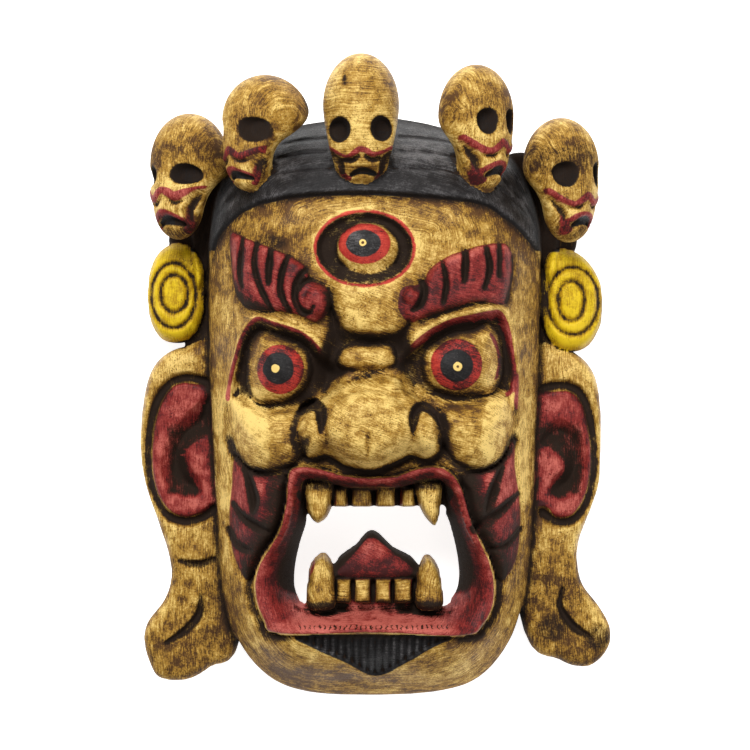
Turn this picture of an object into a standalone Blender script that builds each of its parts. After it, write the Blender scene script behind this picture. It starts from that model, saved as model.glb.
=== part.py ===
"""Carved wooden cham mask with a crown of five skulls, lying on its back.

The face looks up along +Z and the crown points along +Y. The origin is under the middle of the mask, on the
surface that it lies on. The mask is one block of wood: its front is a relief that is raised and cut with
gouges, the skulls of the crown are carved in the round, and the back is hollowed out behind the face.

The carving is drawn in millimetres on a board for a mask DRAWN_HEIGHT tall, x to the right and y up, and
is scaled to MASK_HEIGHT. The sizes at the top are real sizes, in metres.
"""

import bmesh
import bpy
import numpy as np
import openvdb

# Real sizes, in metres
MASK_HEIGHT = 0.351  # from the chin to the crown of the middle skull
FACE_DEPTH = 0.084  # from the back to the forehead, before brows and nose are raised on it
JAW_DEPTH = 0.036  # from the back to where the side of the face rounds over
EAR_THICKNESS = 0.030  # ears and earrings, from the back to their rims
STRIP_THICKNESS = 0.021  # the sunk strip between the ears and the face
HOLLOW_DEPTH = 0.052  # deepest point of the hollow behind the face
HOLLOW_WALL = 0.014  # least wood between the hollow and the face
RIM_WIDTH = 0.017  # flat rim round the hollow
EDGE_ROUNDING = 0.005  # worn edge round the whole outline
VOXEL = 0.0015  # step of the carving grid
TRIANGLES = 9600  # what the finished solid is thinned to

DRAWN_HEIGHT = 351.0
DRAWN_CENTRE = (0.0, -2.6, 0.0)  # what comes to lie over the origin
SCALE = MASK_HEIGHT / DRAWN_HEIGHT
FAR = 1000.0  # a distance that stands for nowhere near
WOOD = (0.56, 0.36, 0.10, 1.0)


def drawn(size):
    """A real size in metres as millimetres on the drawing."""
    return size / SCALE


# Outlines of the board, in drawn millimetres
HEAD = [(-83, 111), (-91, 80), (-92, 25), (-90, -30), (-87, -82), (-84, -122), (-76, -148), (-60, -167),
        (-38, -176), (-3, -178), (34, -176), (58, -168), (75, -148), (83, -122), (87, -80), (89, -30),
        (91, 25), (91, 80), (80, 114), (64, 128), (41, 137), (19, 142), (-2, 144), (-24, 142), (-46, 138),
        (-68, 128)]
LEFT_EAR = [(-88, 14), (-105, 16), (-118, 11), (-126, 0), (-130, -19), (-131, -41), (-128, -61), (-121, -82),
            (-115, -101), (-114, -114), (-118, -126), (-127, -138), (-129, -148), (-126, -160), (-120, -169),
            (-105, -170), (-92, -163), (-76, -148), (-72, -60)]
RIGHT_EAR = [(88, 12), (103, 15), (115, 10), (123, -1), (126, -19), (126, -41), (125, -60), (120, -76),
             (114, -92), (113, -104), (116, -117), (125, -129), (131, -140), (131, -150), (125, -159),
             (116, -163), (103, -159), (84, -144), (72, -60)]
EARRINGS = [[(-113, 73), (-121, 68), (-126, 57), (-127, 41), (-125, 29), (-119, 20), (-110, 18), (-102, 21),
             (-96, 31), (-94, 44), (-95, 59), (-102, 71)],
            [(99, 69), (111, 69), (120, 62), (126, 51), (127, 39), (126, 28), (120, 17), (111, 13), (101, 15),
             (94, 25), (91, 41), (93, 59)]]
STRIPS = [[(-115, 72), (-113, 84), (-105, 98), (-97, 114), (-84, 121), (-70, 116), (-74, 90), (-78, -10),
           (-104, -6), (-106, 20), (-99, 44), (-108, 64)],
          [(112, 70), (112, 82), (103, 98), (93, 117), (82, 124), (70, 118), (74, 90), (78, -10), (100, -6),
           (102, 16), (97, 40), (106, 62)]]
HEADBAND = [(-100, 52), (-100, 160), (0, 175), (100, 160), (100, 52), (89, 66), (80, 76), (68, 85), (56, 91),
            (30, 94), (-2, 96), (-35, 95), (-62, 91), (-76, 84), (-85, 74), (-90, 62)]

# Outlines of the face
THIRD_EYE = ((-5.5, 67.5), (26, 19.7))
THIRD_EYEBALL = ((-4, 67.5), (17.3, 14.5))
VALLEY = [(-27, 43), (-25, 24), (-32, 6), (-27, -12), (-14, 2), (12, 3), (22, -10), (20, 12), (18, 26),
          (26, 44), (19, 43), (14, 24), (-16, 24), (-21, 42)]
BOSS = [(-21, 57), (-12, 60), (12, 60), (20, 57), (23.5, 47), (23.5, 37), (18, 27), (9, 21), (-1.5, 19.5),
        (-12, 22), (-20, 28), (-24, 37), (-24, 47)]
NOSE_WINGS = [((-34.5, -33), (8, 10)), ((29, -32), (8, 10))]
BRIDGE = [(-20, 12), (-14, 17), (-2, 17), (8, 17), (12, 11), (11, 5), (5, 2), (-13, 1.5), (-20.5, 6)]
NOSE = [(-17, -3), (-2, 0), (12, 0), (18, -8), (27, -14), (34, -19), (37, -30), (35, -41), (27, -45.5),
        (19, -43.5), (11, -47), (-2, -51.5), (-16, -49), (-26, -43.5), (-35, -45), (-41, -39), (-42.5, -29),
        (-39, -20), (-31, -14), (-23, -8)]
LEFT_EYE = [(-61, 24), (-48, 20), (-38, 15), (-34, 7), (-35, -3), (-43, -12), (-55, -15), (-63, -15),
            (-68, -10), (-70, 3), (-68, 16)]
RIGHT_EYE = [(61, 28), (52, 24.5), (42, 23), (33, 18), (26, 12), (25, 3), (28, -5), (35, -9), (44, -11),
             (56, -11), (64, -9), (69, 0), (69, 12), (67, 22)]
LEFT_HOLLOW = [(-28, 9), (-34, 17), (-42, 22), (-55, 26), (-63, 28), (-69, 22), (-73, 10), (-77, -5),
               (-78, -12), (-69, -15), (-60, -20), (-40, -20), (-30, -14), (-23, -7), (-18, 1)]
RIGHT_HOLLOW = [(14, 8), (21, 16), (30, 23), (40, 28), (52, 31), (62, 33), (67, 33), (71, 26), (73, 16),
                (75, 2), (73, -9), (64, -12), (51, -15), (35, -15), (24, -10), (16, -2)]
LEFT_LID = [(-28, 11), (-34, 18), (-42, 23.5), (-55, 27.5), (-63, 30), (-70, 23), (-75, 10), (-79, -5),
            (-80, -13)]
RIGHT_LID = [(14, 9), (21, 17.5), (30, 25), (40, 29.5), (52, 32.5), (62, 35), (68, 35), (72, 27), (75, 16),
             (76.5, 2), (76.5, -18)]
LEFT_CHEEK = [(-79, -12), (-69, -16), (-60, -20), (-41, -20), (-35, -25), (-37, -35), (-40, -44), (-49, -50),
              (-60, -52), (-69, -50), (-76, -42), (-80, -28)]
RIGHT_CHEEK = [(36, -18), (50, -16), (64, -12), (71, -12), (76, -19), (76, -29), (72, -41), (64, -49),
               (53, -51), (43, -47), (37, -38), (33, -26)]
LEFT_BROW = [(-78, 77), (-68, 73), (-51, 66), (-38, 59), (-34, 51), (-27, 48), (-24, 40), (-26, 32),
             (-32, 28), (-41, 32), (-52, 34), (-66, 35), (-72, 39), (-76, 48), (-78, 62)]
RIGHT_BROW = [(71, 70), (61, 70), (46, 66), (35, 61), (29, 56), (26, 50), (20, 47), (14, 43), (12, 36),
              (18, 28), (28, 31), (40, 35), (54, 39), (70, 38), (73, 46), (75, 60)]
BROW_CURLS = [((-31.5, 39.3), (8, 9.5)), ((18.8, 41.8), (6.2, 6))]
LIP_OUTER = [(-46, -52), (-39, -48.5), (-30, -49.5), (-17, -53), (-2, -54.5), (11, -53.5), (23, -49.5),
             (33, -48.5), (42, -53), (47, -62), (52, -79), (61, -97), (65, -111), (64, -125), (58, -135),
             (48, -140), (0, -138), (-52, -139), (-60, -133), (-65, -120), (-65, -109), (-61, -98),
             (-52, -84), (-48, -70)]
LIP_INNER = [(-39, -56), (-28, -56), (-15, -59), (-1, -60.5), (13, -59), (26, -56), (37, -56), (41, -68),
             (45, -81), (51, -94), (53, -107), (51, -116), (45, -122), (35, -124), (-35, -124), (-45, -122),
             (-51, -114), (-50, -102), (-45, -89), (-41, -76)]
MOUTH_OPENING = [(-30, -71.5), (0, -71.5), (34.5, -71.5), (38, -76.5), (41, -83), (44.5, -95.5), (46.2, -108),
                 (45, -117), (41, -122), (36, -124), (0, -124), (-36, -122.5), (-41, -121), (-43.8, -116.5),
                 (-44.3, -110), (-43.2, -101), (-40.5, -90.3), (-36.5, -80), (-34, -74)]
UPPER_GUM = [(-38, -59), (0, -60), (38, -59), (37, -70), (0, -71.5), (-37, -70)]
LOWER_GUM = [(-30, -128), (-30, -112), (-15, -110), (0, -110), (15, -110), (30, -112), (30, -128), (0, -128)]
UPPER_TEETH = [((-18.8, -66), (3.9, 6)), ((-7.4, -66), (5.5, 6)), ((5.6, -66), (5.2, 6)), ((17.8, -66),
               (3.9, 6))]
LOWER_TEETH = [((-17, -117), (4, 6.4)), ((-6.9, -117), (4, 6.4)), ((4.6, -117), (4.2, 6.4)),
               ((15.4, -117), (4.7, 6.4))]
FANGS = [[(-38.5, -57), (-23.5, -57), (-23, -68), (-25.5, -76.5), (-31, -80.5), (-35.5, -76.5), (-38, -68)],
         [(21.5, -57), (36, -57), (35.8, -69), (34.8, -77.5), (32, -82), (27, -77), (23, -69)],
         [(-36.5, -126), (-36.6, -110), (-34.6, -102), (-28.5, -97), (-23.5, -101.5), (-21.8, -111),
          (-22, -126)], [(22.6, -126), (22.6, -110), (24, -103), (28.5, -98), (34, -103.5), (36.4, -113),
          (36.4, -126)]]
TONGUE = [(-1.5, -85), (-11, -93), (-21, -101), (-23, -112), (24, -112), (22, -101), (10, -94)]
FLAMES = [[(-76, -45), (-68, -51), (-59, -54), (-48, -55), (-48, -68), (-53, -84), (-61, -98), (-68, -111),
           (-74, -105), (-78, -94), (-79.5, -79), (-78, -62)], [(75.5, -34), (68, -47), (57, -52), (48, -54),
           (48, -68), (53, -81), (62, -98), (66, -110), (71, -110), (77, -100), (79, -85), (79, -69),
           (76, -50)]]
GOATEE = [(-42, -139.5), (0, -139), (40, -140), (31, -146), (15, -156), (0, -163), (-17, -154), (-34, -146)]

# Strokes of a knife or gouge. Each point is its place and its half width
BROW_CUTS = [[(-71, 75, 0.5), (-71.8, 66, 1.0), (-72.6, 54, 1.1), (-71, 47, 0.3)], [(-63, 70.5, 0.9),
              (-64.6, 60, 1.1), (-61.4, 47, 1.3), (-54, 33.5, 0.7)], [(-55.5, 67, 1.0), (-56.3, 58, 1.5),
              (-56.8, 49, 1.0)], [(-46, 64, 0.8), (-49.7, 53.4, 1.2), (-49.9, 42.7, 1.4), (-43.5, 31, 0.6)],
             [(-36, 57, 0.8), (-41.5, 50, 1.3), (-42.6, 41, 1.5), (-39.6, 34.4, 1.5), (-35, 33, 1.0),
              (-32.6, 36.5, 0.4)], [(35.5, 61, 0.5), (37.4, 53, 0.8)], [(34.4, 53, 0.4), (37, 46, 1.2),
              (35.6, 37, 0.8)], [(48, 67, 1.2), (48, 58, 1.8), (47.4, 50, 0.8)], [(59.4, 67.5, 1.1),
              (61.2, 57, 1.5), (58.2, 46, 0.6)], [(66.6, 70, 0.9), (66.4, 53, 0.7)], [(74.6, 64, 0.6),
              (74.4, 50, 0.9), (71, 39, 0.8)], [(24, 52.5, 0.6), (26.4, 45.5, 1.4), (23.6, 37.5, 1.5),
              (16, 34.5, 0.8)]]
NOSTRILS = [[(-41, -21, 1.2), (-36, -17.5, 2.2), (-30, -16.6, 3.0), (-26.8, -19.5, 3.1), (-26.6, -25, 2.0),
             (-26.8, -30, 0.5)],
            [(18.8, -30, 0.5), (18.9, -25, 2.2), (20.8, -18.6, 3.0), (25.5, -16.4, 2.6), (31, -19, 1.8),
             (35.4, -25, 1.4), (37, -32, 0.8)]]
NOSE_DENT = [(-3.7, -31, 0.3), (-3.6, -36, 0.9), (-3.8, -42, 0.4)]
FLAME_CUTS = [[(-70.5, -50, 0.3), (-67.2, -58, 1.6), (-65, -67, 2.2), (-65.4, -73, 0.5)],
              [(-77, -69.5, 0.3), (-71, -76.5, 1.3), (-64, -81, 2.0), (-57, -84, 1.0)],
              [(-79.6, -84, 0.6), (-75, -91.5, 1.5), (-69, -94, 1.4), (-66, -94.5, 0.5)],
              [(68.5, -50, 0.3), (64.8, -58, 1.8), (62, -67, 2.2), (60, -73, 1.0)],
              [(77.5, -64.5, 0.3), (68.5, -72, 1.8), (58, -79, 3.0), (54, -82, 2.0)],
              [(79, -84, 0.5), (70, -92, 1.3), (62, -93, 1.6)]]
LOBE_CUTS = [[(-108, -103, 0.5), (-98, -104.8, 1.6), (-89.5, -102, 1.0)],
             [(-96.5, -122, 0.4), (-97.4, -132, 1.8), (-104, -140.5, 1.8), (-116, -148.5, 0.5)],
             [(104, -118, 0.5), (102.5, -128, 1.2), (109, -138.5, 2.0), (119, -145, 0.8)]]
HEADBAND_CUTS = [[(-50, 126, 0.4), (-40, 128, 0.9), (-26, 129, 0.8)], [(-89, 84, 0.5), (-74, 101, 1.2),
                  (-60, 108, 1.3), (-46, 110.5, 1.0), (-24, 111, 0.8)], [(13, 129.5, 0.8), (27, 129, 1.0),
                  (41, 127, 0.5)], [(10, 111, 0.8), (27, 111, 1.0), (44, 109, 1.2), (66, 101, 1.3),
                  (85, 85, 0.6)], [(-92, 78, 0.4), (-84, 98, 1.1), (-72, 117, 0.8), (-64, 125, 0.3)],
                 [(-95, 66, 0.3), (-90, 86, 0.9), (-84, 101, 0.5)], [(-52, 117.5, 0.3), (-38, 120, 0.7),
                  (-27, 120.5, 0.5)], [(14, 120.5, 0.4), (30, 120, 0.7), (44, 118, 0.3)], [(92, 72, 0.4),
                  (82, 92, 1.0), (70, 105, 0.6)], [(93, 80, 0.3), (88, 98, 0.8), (79, 113, 0.4)]]

# Cuts in the ears and earrings
EAR_CUTS = [[(-90, -5), (-98, -2.5), (-106, -1.5), (-114, -5), (-121, -15), (-125, -31), (-126, -50),
             (-123, -65), (-116, -77), (-106, -81), (-96, -79), (-89, -74)], [(92, -8), (99, -6), (108, -6.5),
             (115, -12), (120, -27), (122, -47), (120, -63), (115, -75), (108, -81), (100, -81), (93, -76)]]
EAR_HOLLOWS = [[(-91, -12), (-101, -19), (-110, -29), (-117, -43), (-119, -55), (-114, -65), (-105, -68),
                (-96.5, -66), (-96.5, -59), (-101.5, -52), (-104, -44), (-100.5, -36.5), (-89, -31)],
               [(92, -36), (101, -34), (106, -42), (104.5, -52), (98.5, -57), (96.5, -65), (103, -69),
                (112, -64), (117.5, -51), (117.5, -38), (110, -22), (95, -18)]]
EARRING_RINGS = [((-111.5, 44), (12.4, 18)), ((-111, 45), (7.7, 10.3)), ((109.5, 41), (14.3, 18.7)),
                 ((108.5, 41), (7.4, 11))]

# Skulls of the crown, drawn as the middle one: centre, turn to the side in degrees, size, length of the
# cranium behind its widest part, half width and forward set of the jaw, half axes of the eye sockets, and how
# far the sockets, the lip and the mouth are lifted
SKULLS = [((-104, 108, 47), -32, 0.985, 25, (13.5, 6), (6.4, 5.8), (6.5, 10, 4)),
          ((-65.5, 130, 70), -45, 0.90, 31, (13, 4), (6.8, 6.4), (8, 6, 3)),
          ((-7.5, 137, 77), 0, 1.0, 25, (16.5, 3), (5.4, 6.4), (0, 0, 0)),
          ((55, 132, 70), 42, 0.98, 21, (12.8, 4), (5.4, 6.2), (11, 8.8, 5.8)),
          ((103.5, 106, 47), 36, 0.97, 23, (14, 4), (5.9, 6.0), (10.5, 7.7, 6))]
SKULL_FEATURES = (-6.8, -18, -28)  # heights of the sockets, the lip and the mouth on the middle skull
SKULL_ENDS = (-40, 40)
SKULL_EYES = [(-11.2, -6.8), (10.8, -6.2)]
SKULL_LIP = [(-17.6, -14.9, 0.6), (-11.9, -19.3, 0.9), (-7, -21.1, 1.0), (-2.6, -18.6, 1.5), (0, -17.2, 1.5),
             (3.5, -18.6, 1.5), (6.6, -20.2, 1.2), (11.9, -18.4, 1.0), (17.2, -15.3, 0.7)]
SKULL_FOLDS = [[(-16, -18, 0.5), (-12.8, -22, 1.3), (-10.6, -25.4, 1.3), (-9.6, -29, 0.5)],
               [(16.4, -18, 0.5), (13.2, -21.7, 1.3), (11.4, -25, 1.1), (10.6, -29, 0.5)]]
SKULL_LIP_SHADOWS = [[(-9.4, -22.8, 0.6), (-4.6, -22.8, 1.3), (-1.2, -21, 0.5)],
                     [(2.6, -20.9, 0.5), (5.8, -22.3, 1.3), (9.8, -21.8, 0.8)]]
SKULL_MOUTH = [(-5, -30.2, 1.1), (-1, -28.6, 1.7), (3, -28.5, 1.8), (7.4, -29.8, 1.2)]


def smooth_line(points, closed, steps=5):
    """Points on a smooth curve through the given ones."""
    p = np.array(points, float)
    n = len(p)
    spans = n if closed else n - 1
    at = (lambda i: p[i % n]) if closed else (lambda i: p[min(max(i, 0), n - 1)])
    line = []
    for i in range(spans):
        a, b, c, d = at(i - 1), at(i), at(i + 1), at(i + 2)
        for t in np.arange(steps) / steps:
            line.append(0.5 * (2 * b + (c - a) * t + (2 * a - 5 * b + 4 * c - d) * t**2
                               + (3 * b - a - 3 * c + d) * t**3))
    if not closed:
        line.append(p[-1])
    return np.array(line)


def line_distance(line, closed, x, y):
    """Distance from each point to a line, and whether the point is inside it if it is closed."""
    ends = np.roll(line, -1, axis=0) if closed else line[1:]
    nearest = np.full(x.shape, FAR**2)
    inside = np.zeros(x.shape, bool)
    for (ax, ay), (bx, by) in zip(line, ends):
        dx, dy = bx - ax, by - ay
        t = np.clip(((x - ax) * dx + (y - ay) * dy) / (dx * dx + dy * dy + 1e-9), 0, 1)
        nearest = np.minimum(nearest, (x - ax - t * dx) ** 2 + (y - ay - t * dy) ** 2)
        if closed:
            crosses = (ay > y) != (by > y)
            inside ^= crosses & (x < ax + dx * (y - ay) / (dy if abs(dy) > 1e-9 else 1e-9))
    return np.sqrt(nearest), inside


def near(line, x, y, reach):
    """Slices of the board's grid that hold everything within reach of a line."""
    (x0, y0), (x1, y1) = line.min(0) - reach, line.max(0) + reach
    i = np.searchsorted(x[:, 0], (x0, x1))
    j = np.searchsorted(y[0], (y0, y1))
    return slice(*i), slice(*j)


def outline_distance(points, x, y, reach=25.0):
    """Signed distance to a smooth closed outline on the board, negative inside, FAR beyond reach."""
    line = smooth_line(points, closed=True)
    part = near(line, x, y, reach)
    distance, inside = line_distance(line, True, x[part], y[part])
    found = np.full(x.shape, FAR)
    found[part] = np.where(inside, -distance, distance)
    return found


def cut_distance(points, x, y, reach=12.0):
    """Distance to a smooth open line on the board, FAR beyond reach."""
    line = smooth_line(points, closed=False)
    part = near(line, x, y, reach)
    found = np.full(x.shape, FAR)
    found[part] = line_distance(line, False, x[part], y[part])[0]
    return found


def inside_stroke(points, x, y):
    """How far inside a stroke of a knife or brush each point is. Its points give its place and half width."""
    line = smooth_line(points, closed=False, steps=4)
    inside = np.full(x.shape, -FAR)
    for (ax, ay, a_width), (bx, by, b_width) in zip(line, line[1:]):
        dx, dy = bx - ax, by - ay
        t = np.clip(((x - ax) * dx + (y - ay) * dy) / (dx * dx + dy * dy + 1e-9), 0, 1)
        width = a_width + (b_width - a_width) * t
        inside = np.maximum(inside, width - np.hypot(x - ax - t * dx, y - ay - t * dy))
    return inside


def stroke(points, x, y, reach=16.0):
    """How far inside a stroke each point of the board's grid is, -FAR beyond reach."""
    part = near(np.array(points)[:, :2], x, y, reach)
    found = np.full(x.shape, -FAR)
    found[part] = inside_stroke(points, x[part], y[part])
    return found


def strokes(shapes, x, y):
    """How far inside the nearest of several strokes each point of the board's grid is."""
    return np.maximum.reduce([stroke(points, x, y) for points in shapes])


def ellipse_distance(oval, x, y):
    """Signed distance to an ellipse given as its centre and half axes, negative inside."""
    (cx, cy), (rx, ry) = oval
    near_one = np.hypot((x - cx) / rx, (y - cy) / ry) + 1e-6
    slope = np.hypot((x - cx) / rx**2, (y - cy) / ry**2) + 1e-6 / min(rx, ry)
    return near_one * (near_one - 1) / slope


def block_distance(block, x, y):
    """Signed distance to an upright rectangle given as its centre and half sizes, negative inside."""
    (cx, cy), (rx, ry) = block
    qx, qy = np.abs(x - cx) - rx, np.abs(y - cy) - ry
    return np.hypot(np.maximum(qx, 0), np.maximum(qy, 0)) + np.minimum(np.maximum(qx, qy), 0)


def ramp(t):
    """0 below 0 and 1 above 1, smooth in between."""
    t = np.clip(t, 0, 1)
    return t * t * (3 - 2 * t)


def swell(t):
    """0 below 0 and 1 above 1, rising like a quarter of a circle."""
    t = np.clip(t, 0, 1)
    return np.sqrt(1 - (1 - t) ** 2)


def soft_max(a, b, k):
    """The larger of two, blended where they are within k of each other."""
    h = np.clip(0.5 + 0.5 * (a - b) / k, 0, 1)
    return b + (a - b) * h + k * h * (1 - h)


def soft_min(a, b, k):
    """The smaller of two, blended where they are within k of each other."""
    return -soft_max(-a, -b, k)


def blurred(height, radius):
    """A height map smoothed by that many grid steps."""
    offsets = np.arange(-3 * radius, 3 * radius + 1)
    weights = np.exp(-0.5 * (offsets / radius) ** 2)
    weights /= weights.sum()
    for axis in (0, 1):
        pad = [(0, 0), (0, 0)]
        pad[axis] = (3 * radius, 3 * radius)
        padded = np.pad(height, pad, mode="edge")
        size = height.shape[axis]
        height = sum(w * np.take(padded, np.arange(size) + i, axis) for i, w in enumerate(weights))
    return height


def pad_on(height, base, distance, sunk, raised, edge):
    """Raises a rounded pad over the base surface, from sunk below it at the outline to raised above it."""
    pad = base - sunk + (sunk + raised) * swell(-distance / edge)
    return np.where(distance < 0, np.maximum(height, pad), height)


def carve_ears(x, y, top):
    """Ears and earrings: flat boards with worn rims, cut with hollows and rings."""
    rim = drawn(EAR_THICKNESS)
    for points in (LEFT_EAR, RIGHT_EAR):
        ear = outline_distance(points, x, y)
        top = np.where(ear < 0, np.maximum(top, rim - 7 + 7 * swell(-ear / 9)), top)
    for points in EARRINGS:
        disc = outline_distance(points, x, y)
        top = np.where(disc < 0, np.maximum(top, rim - 6 + 10 * swell(-disc / 15)), top)
    for points in EAR_CUTS:
        top = top - 4.5 * ramp((4.2 - cut_distance(points, x, y)) / 3.6)
    for points in EAR_HOLLOWS:
        top = top - 9 * np.clip((1 - outline_distance(points, x, y)) / 8, 0, 1)
    top = top - 4 * ramp((strokes(LOBE_CUTS, x, y) + 1.4) / 3)
    for oval in EARRING_RINGS:
        top = top - 1.8 * ramp((2.3 - np.abs(ellipse_distance(oval, x, y))) / 2.2)
    return top


def carve_headband(x, y, top):
    """Headband: a wrap that stands proud of the forehead, with the cuts between its turns."""
    band = outline_distance(HEADBAND, x, y, reach=60)
    top = top + 4.5 * ramp(-band / 3)
    return top - 2.2 * ramp((strokes(HEADBAND_CUTS, x, y) + 1.2) / 2.4) * (band < 0)


def carve_eyes(x, y, top, base):
    """Third eye in its ring, and two bulging eyes in hollows under ridged lids."""
    ring = ellipse_distance(THIRD_EYE, x, y)
    top = top - 5 * ramp(-ring / 3.5)
    top = pad_on(top, base, ellipse_distance(THIRD_EYEBALL, x, y), 5, 4, 12)
    for points in (LEFT_HOLLOW, RIGHT_HOLLOW):
        top = top - 9 * ramp((3 - outline_distance(points, x, y)) / 8)
    for points in (LEFT_LID, RIGHT_LID):
        top = top + 3 * ramp((5 - cut_distance(points, x, y)) / 4)
    for points in (LEFT_EYE, RIGHT_EYE):
        top = pad_on(top, base, outline_distance(points, x, y), 8, 5, 19)
    return top


def carve_nose(x, y, top, base):
    """Boss and bump over the bridge, sunk valley round them, and the broad nose with curled wings."""
    top = top - 8 * ramp((3 - outline_distance(VALLEY, x, y)) / 10)
    boss = outline_distance(BOSS, x, y)
    top = pad_on(top, base, boss, 8, 0, 7)
    top = top + 7 * swell(-boss / 14) * ramp((60 - y) / 18)
    top = pad_on(top, base, outline_distance(BRIDGE, x, y), 8, 5, 7)
    nose = outline_distance(NOSE, x, y)
    top = top - 4 * ramp((5 - nose) / 5) * ramp((-6 - y) / 8)
    top = pad_on(top, base, nose, 7, 16, 16)
    top = top + 8 * swell(-ellipse_distance(((-3, -29), (23, 21)), x, y) / 20)
    for oval in NOSE_WINGS:
        top = top + 3 * swell(-ellipse_distance(oval, x, y) / 7)
    top = top - 8 * ramp((strokes(NOSTRILS, x, y) + 1.8) / 4.4)
    return top - 1.6 * ramp((stroke(NOSE_DENT, x, y) + 1.2) / 2)


def carve_cheeks_and_brows(x, y, top, base):
    """Cheek pads, toothed brows that end in curls, and flames down the jaw."""
    for points in (LEFT_CHEEK, RIGHT_CHEEK):
        cheek = outline_distance(points, x, y)
        top = top - 3 * ramp((4 - cheek) / 4) * ramp((-30 - y) / 8)
        top = pad_on(top, base, cheek, 5, 9, 17)
    for points in (LEFT_BROW, RIGHT_BROW):
        top = pad_on(top, base, outline_distance(points, x, y), 1, 7, 5)
    for oval in BROW_CURLS:
        top = pad_on(top, base, ellipse_distance(oval, x, y), 2, 10.5, 6)
    brows = np.minimum(*(outline_distance(points, x, y) for points in (LEFT_BROW, RIGHT_BROW)))
    top = top - 5 * ramp((strokes(BROW_CUTS, x, y) + 1.2) / 3.0) * ramp((1 - brows) / 2)
    for points in FLAMES:
        flame = outline_distance(points, x, y)
        top = top - 3 * ramp((3 - np.abs(flame)) / 3)
        top = pad_on(top, base, flame, 3, 3, 7)
    return top - 5 * ramp((strokes(FLAME_CUTS, x, y) + 1.2) / 3.4)


def mouth_slope(x, y):
    """How far down the funnel of the lips each point is, from 0 at their edge to 1 at the opening."""
    inside = np.maximum(-outline_distance(LIP_OUTER, x, y, reach=60), 0)
    return inside / (inside + np.maximum(outline_distance(MOUTH_OPENING, x, y, reach=60), 0) + 0.01)


def carve_mouth(x, y, top, base):
    """Open mouth: lips like a funnel, teeth, fangs and tongue. Returns the heights and the opening."""
    outer, inner = outline_distance(LIP_OUTER, x, y), outline_distance(LIP_INNER, x, y, reach=60)
    beside = ramp((-56 - y) / 6) * ramp((y + 142) / 10)
    top = top - (3 + 3 * beside) * ramp((3 + 3 * beside - outer) / (3 + 3 * beside)) * ramp((outer + 4) / 4)
    slope, floor = mouth_slope(x, y), 45
    lips = base - 1 + 5 * swell(-outer / 2.5)
    lips = lips + (floor - lips) * slope**1.5
    teeth_ledge = ramp(-inner / 3.5) * ramp((y + 82) / 8)
    lips = lips * (1 - teeth_ledge) + np.minimum(lips, 57) * teeth_ledge
    top = np.where(outer < 0, np.maximum(np.where(outer < -4, 0, top), lips), top)
    opening = outline_distance(MOUTH_OPENING, x, y)
    for gum, height in ((UPPER_GUM, 60), (LOWER_GUM, 58)):
        distance = outline_distance(gum, x, y)
        top = np.where(distance < 0, np.maximum(top, height * ramp((3 - distance) / 3)), top)
        opening = np.maximum(opening, -distance)
    for teeth in (UPPER_TEETH, LOWER_TEETH):
        for block in teeth:
            distance = block_distance(block, x, y)
            top = np.where(distance < 0, np.maximum(top, 61 + 10 * swell(-distance / 2.6)), top)
    for points in FANGS:
        distance = outline_distance(points, x, y)
        top = np.where(distance < 0, np.maximum(top, 62 + 15 * swell(-distance / 4.5)), top)
        opening = np.maximum(opening, -distance)
    distance = outline_distance(TONGUE, x, y)
    top = np.where(distance < 0, np.maximum(top, 54 + 11 * swell(-distance / 9)), top)
    opening = np.maximum(opening, -distance)
    goatee = outline_distance(GOATEE, x, y)
    top = top - 3 * ramp(-goatee / 2.5) * (1 + 0.13 * np.cos(x * 1.2))
    return top, opening


def carve_board(x, y):
    """Heights of the front and the back over the board, and signed distances of its outline and opening."""
    head = outline_distance(HEAD, x, y, reach=200)
    front, jaw = drawn(FACE_DEPTH), drawn(JAW_DEPTH)
    base = jaw + (front - jaw) * (1 - (1 - np.clip(-head / 50, 0, 1)) ** 2.4) - 0.25 * np.maximum(y - 80, 0)
    outline = head
    for points in (LEFT_EAR, RIGHT_EAR, *EARRINGS, *STRIPS):
        outline = np.minimum(outline, outline_distance(points, x, y))
    top = carve_ears(x, y, np.full(x.shape, drawn(STRIP_THICKNESS)))
    steep = ramp((1.5 - head) / 3)
    top = np.maximum(top * (1 - steep) + base * steep, top * (head > 0))
    top = carve_headband(x, y, top)
    top = carve_eyes(x, y, top, base)
    top = carve_nose(x, y, top, base)
    top = carve_cheeks_and_brows(x, y, top, base)
    top, opening = carve_mouth(x, y, top, base)
    hollow = head + drawn(RIM_WIDTH)
    ceiling = drawn(HOLLOW_DEPTH) * (1 - (1 - np.clip(-hollow / 30, 0, 1)) ** 2.2)
    ceiling = np.minimum(ceiling, blurred(top, 3) - drawn(HOLLOW_WALL))
    back = np.where(hollow < 0, np.maximum(ceiling, 0), -5)
    return top, back, outline, opening


def skull_place(skull, x, y, z):
    """Where points are in a skull's own axes: to its left, up and out of its face."""
    (cx, cy, cz), turn, size = skull[:3]
    c, s = np.cos(np.radians(turn)), np.sin(np.radians(turn))
    return ((x - cx) * c - (z - cz) * s) / size, (y - cy) / size, ((x - cx) * s + (z - cz) * c) / size


def skull_face(skull, v):
    """Heights on a skull's face as heights on the middle skull, whose features are drawn."""
    lifted = [height + lift for height, lift in zip(SKULL_FEATURES, skull[6])]
    low, high = SKULL_ENDS
    return np.interp(v, (low, *lifted[::-1], high), (low, *SKULL_FEATURES[::-1], high))


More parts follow.
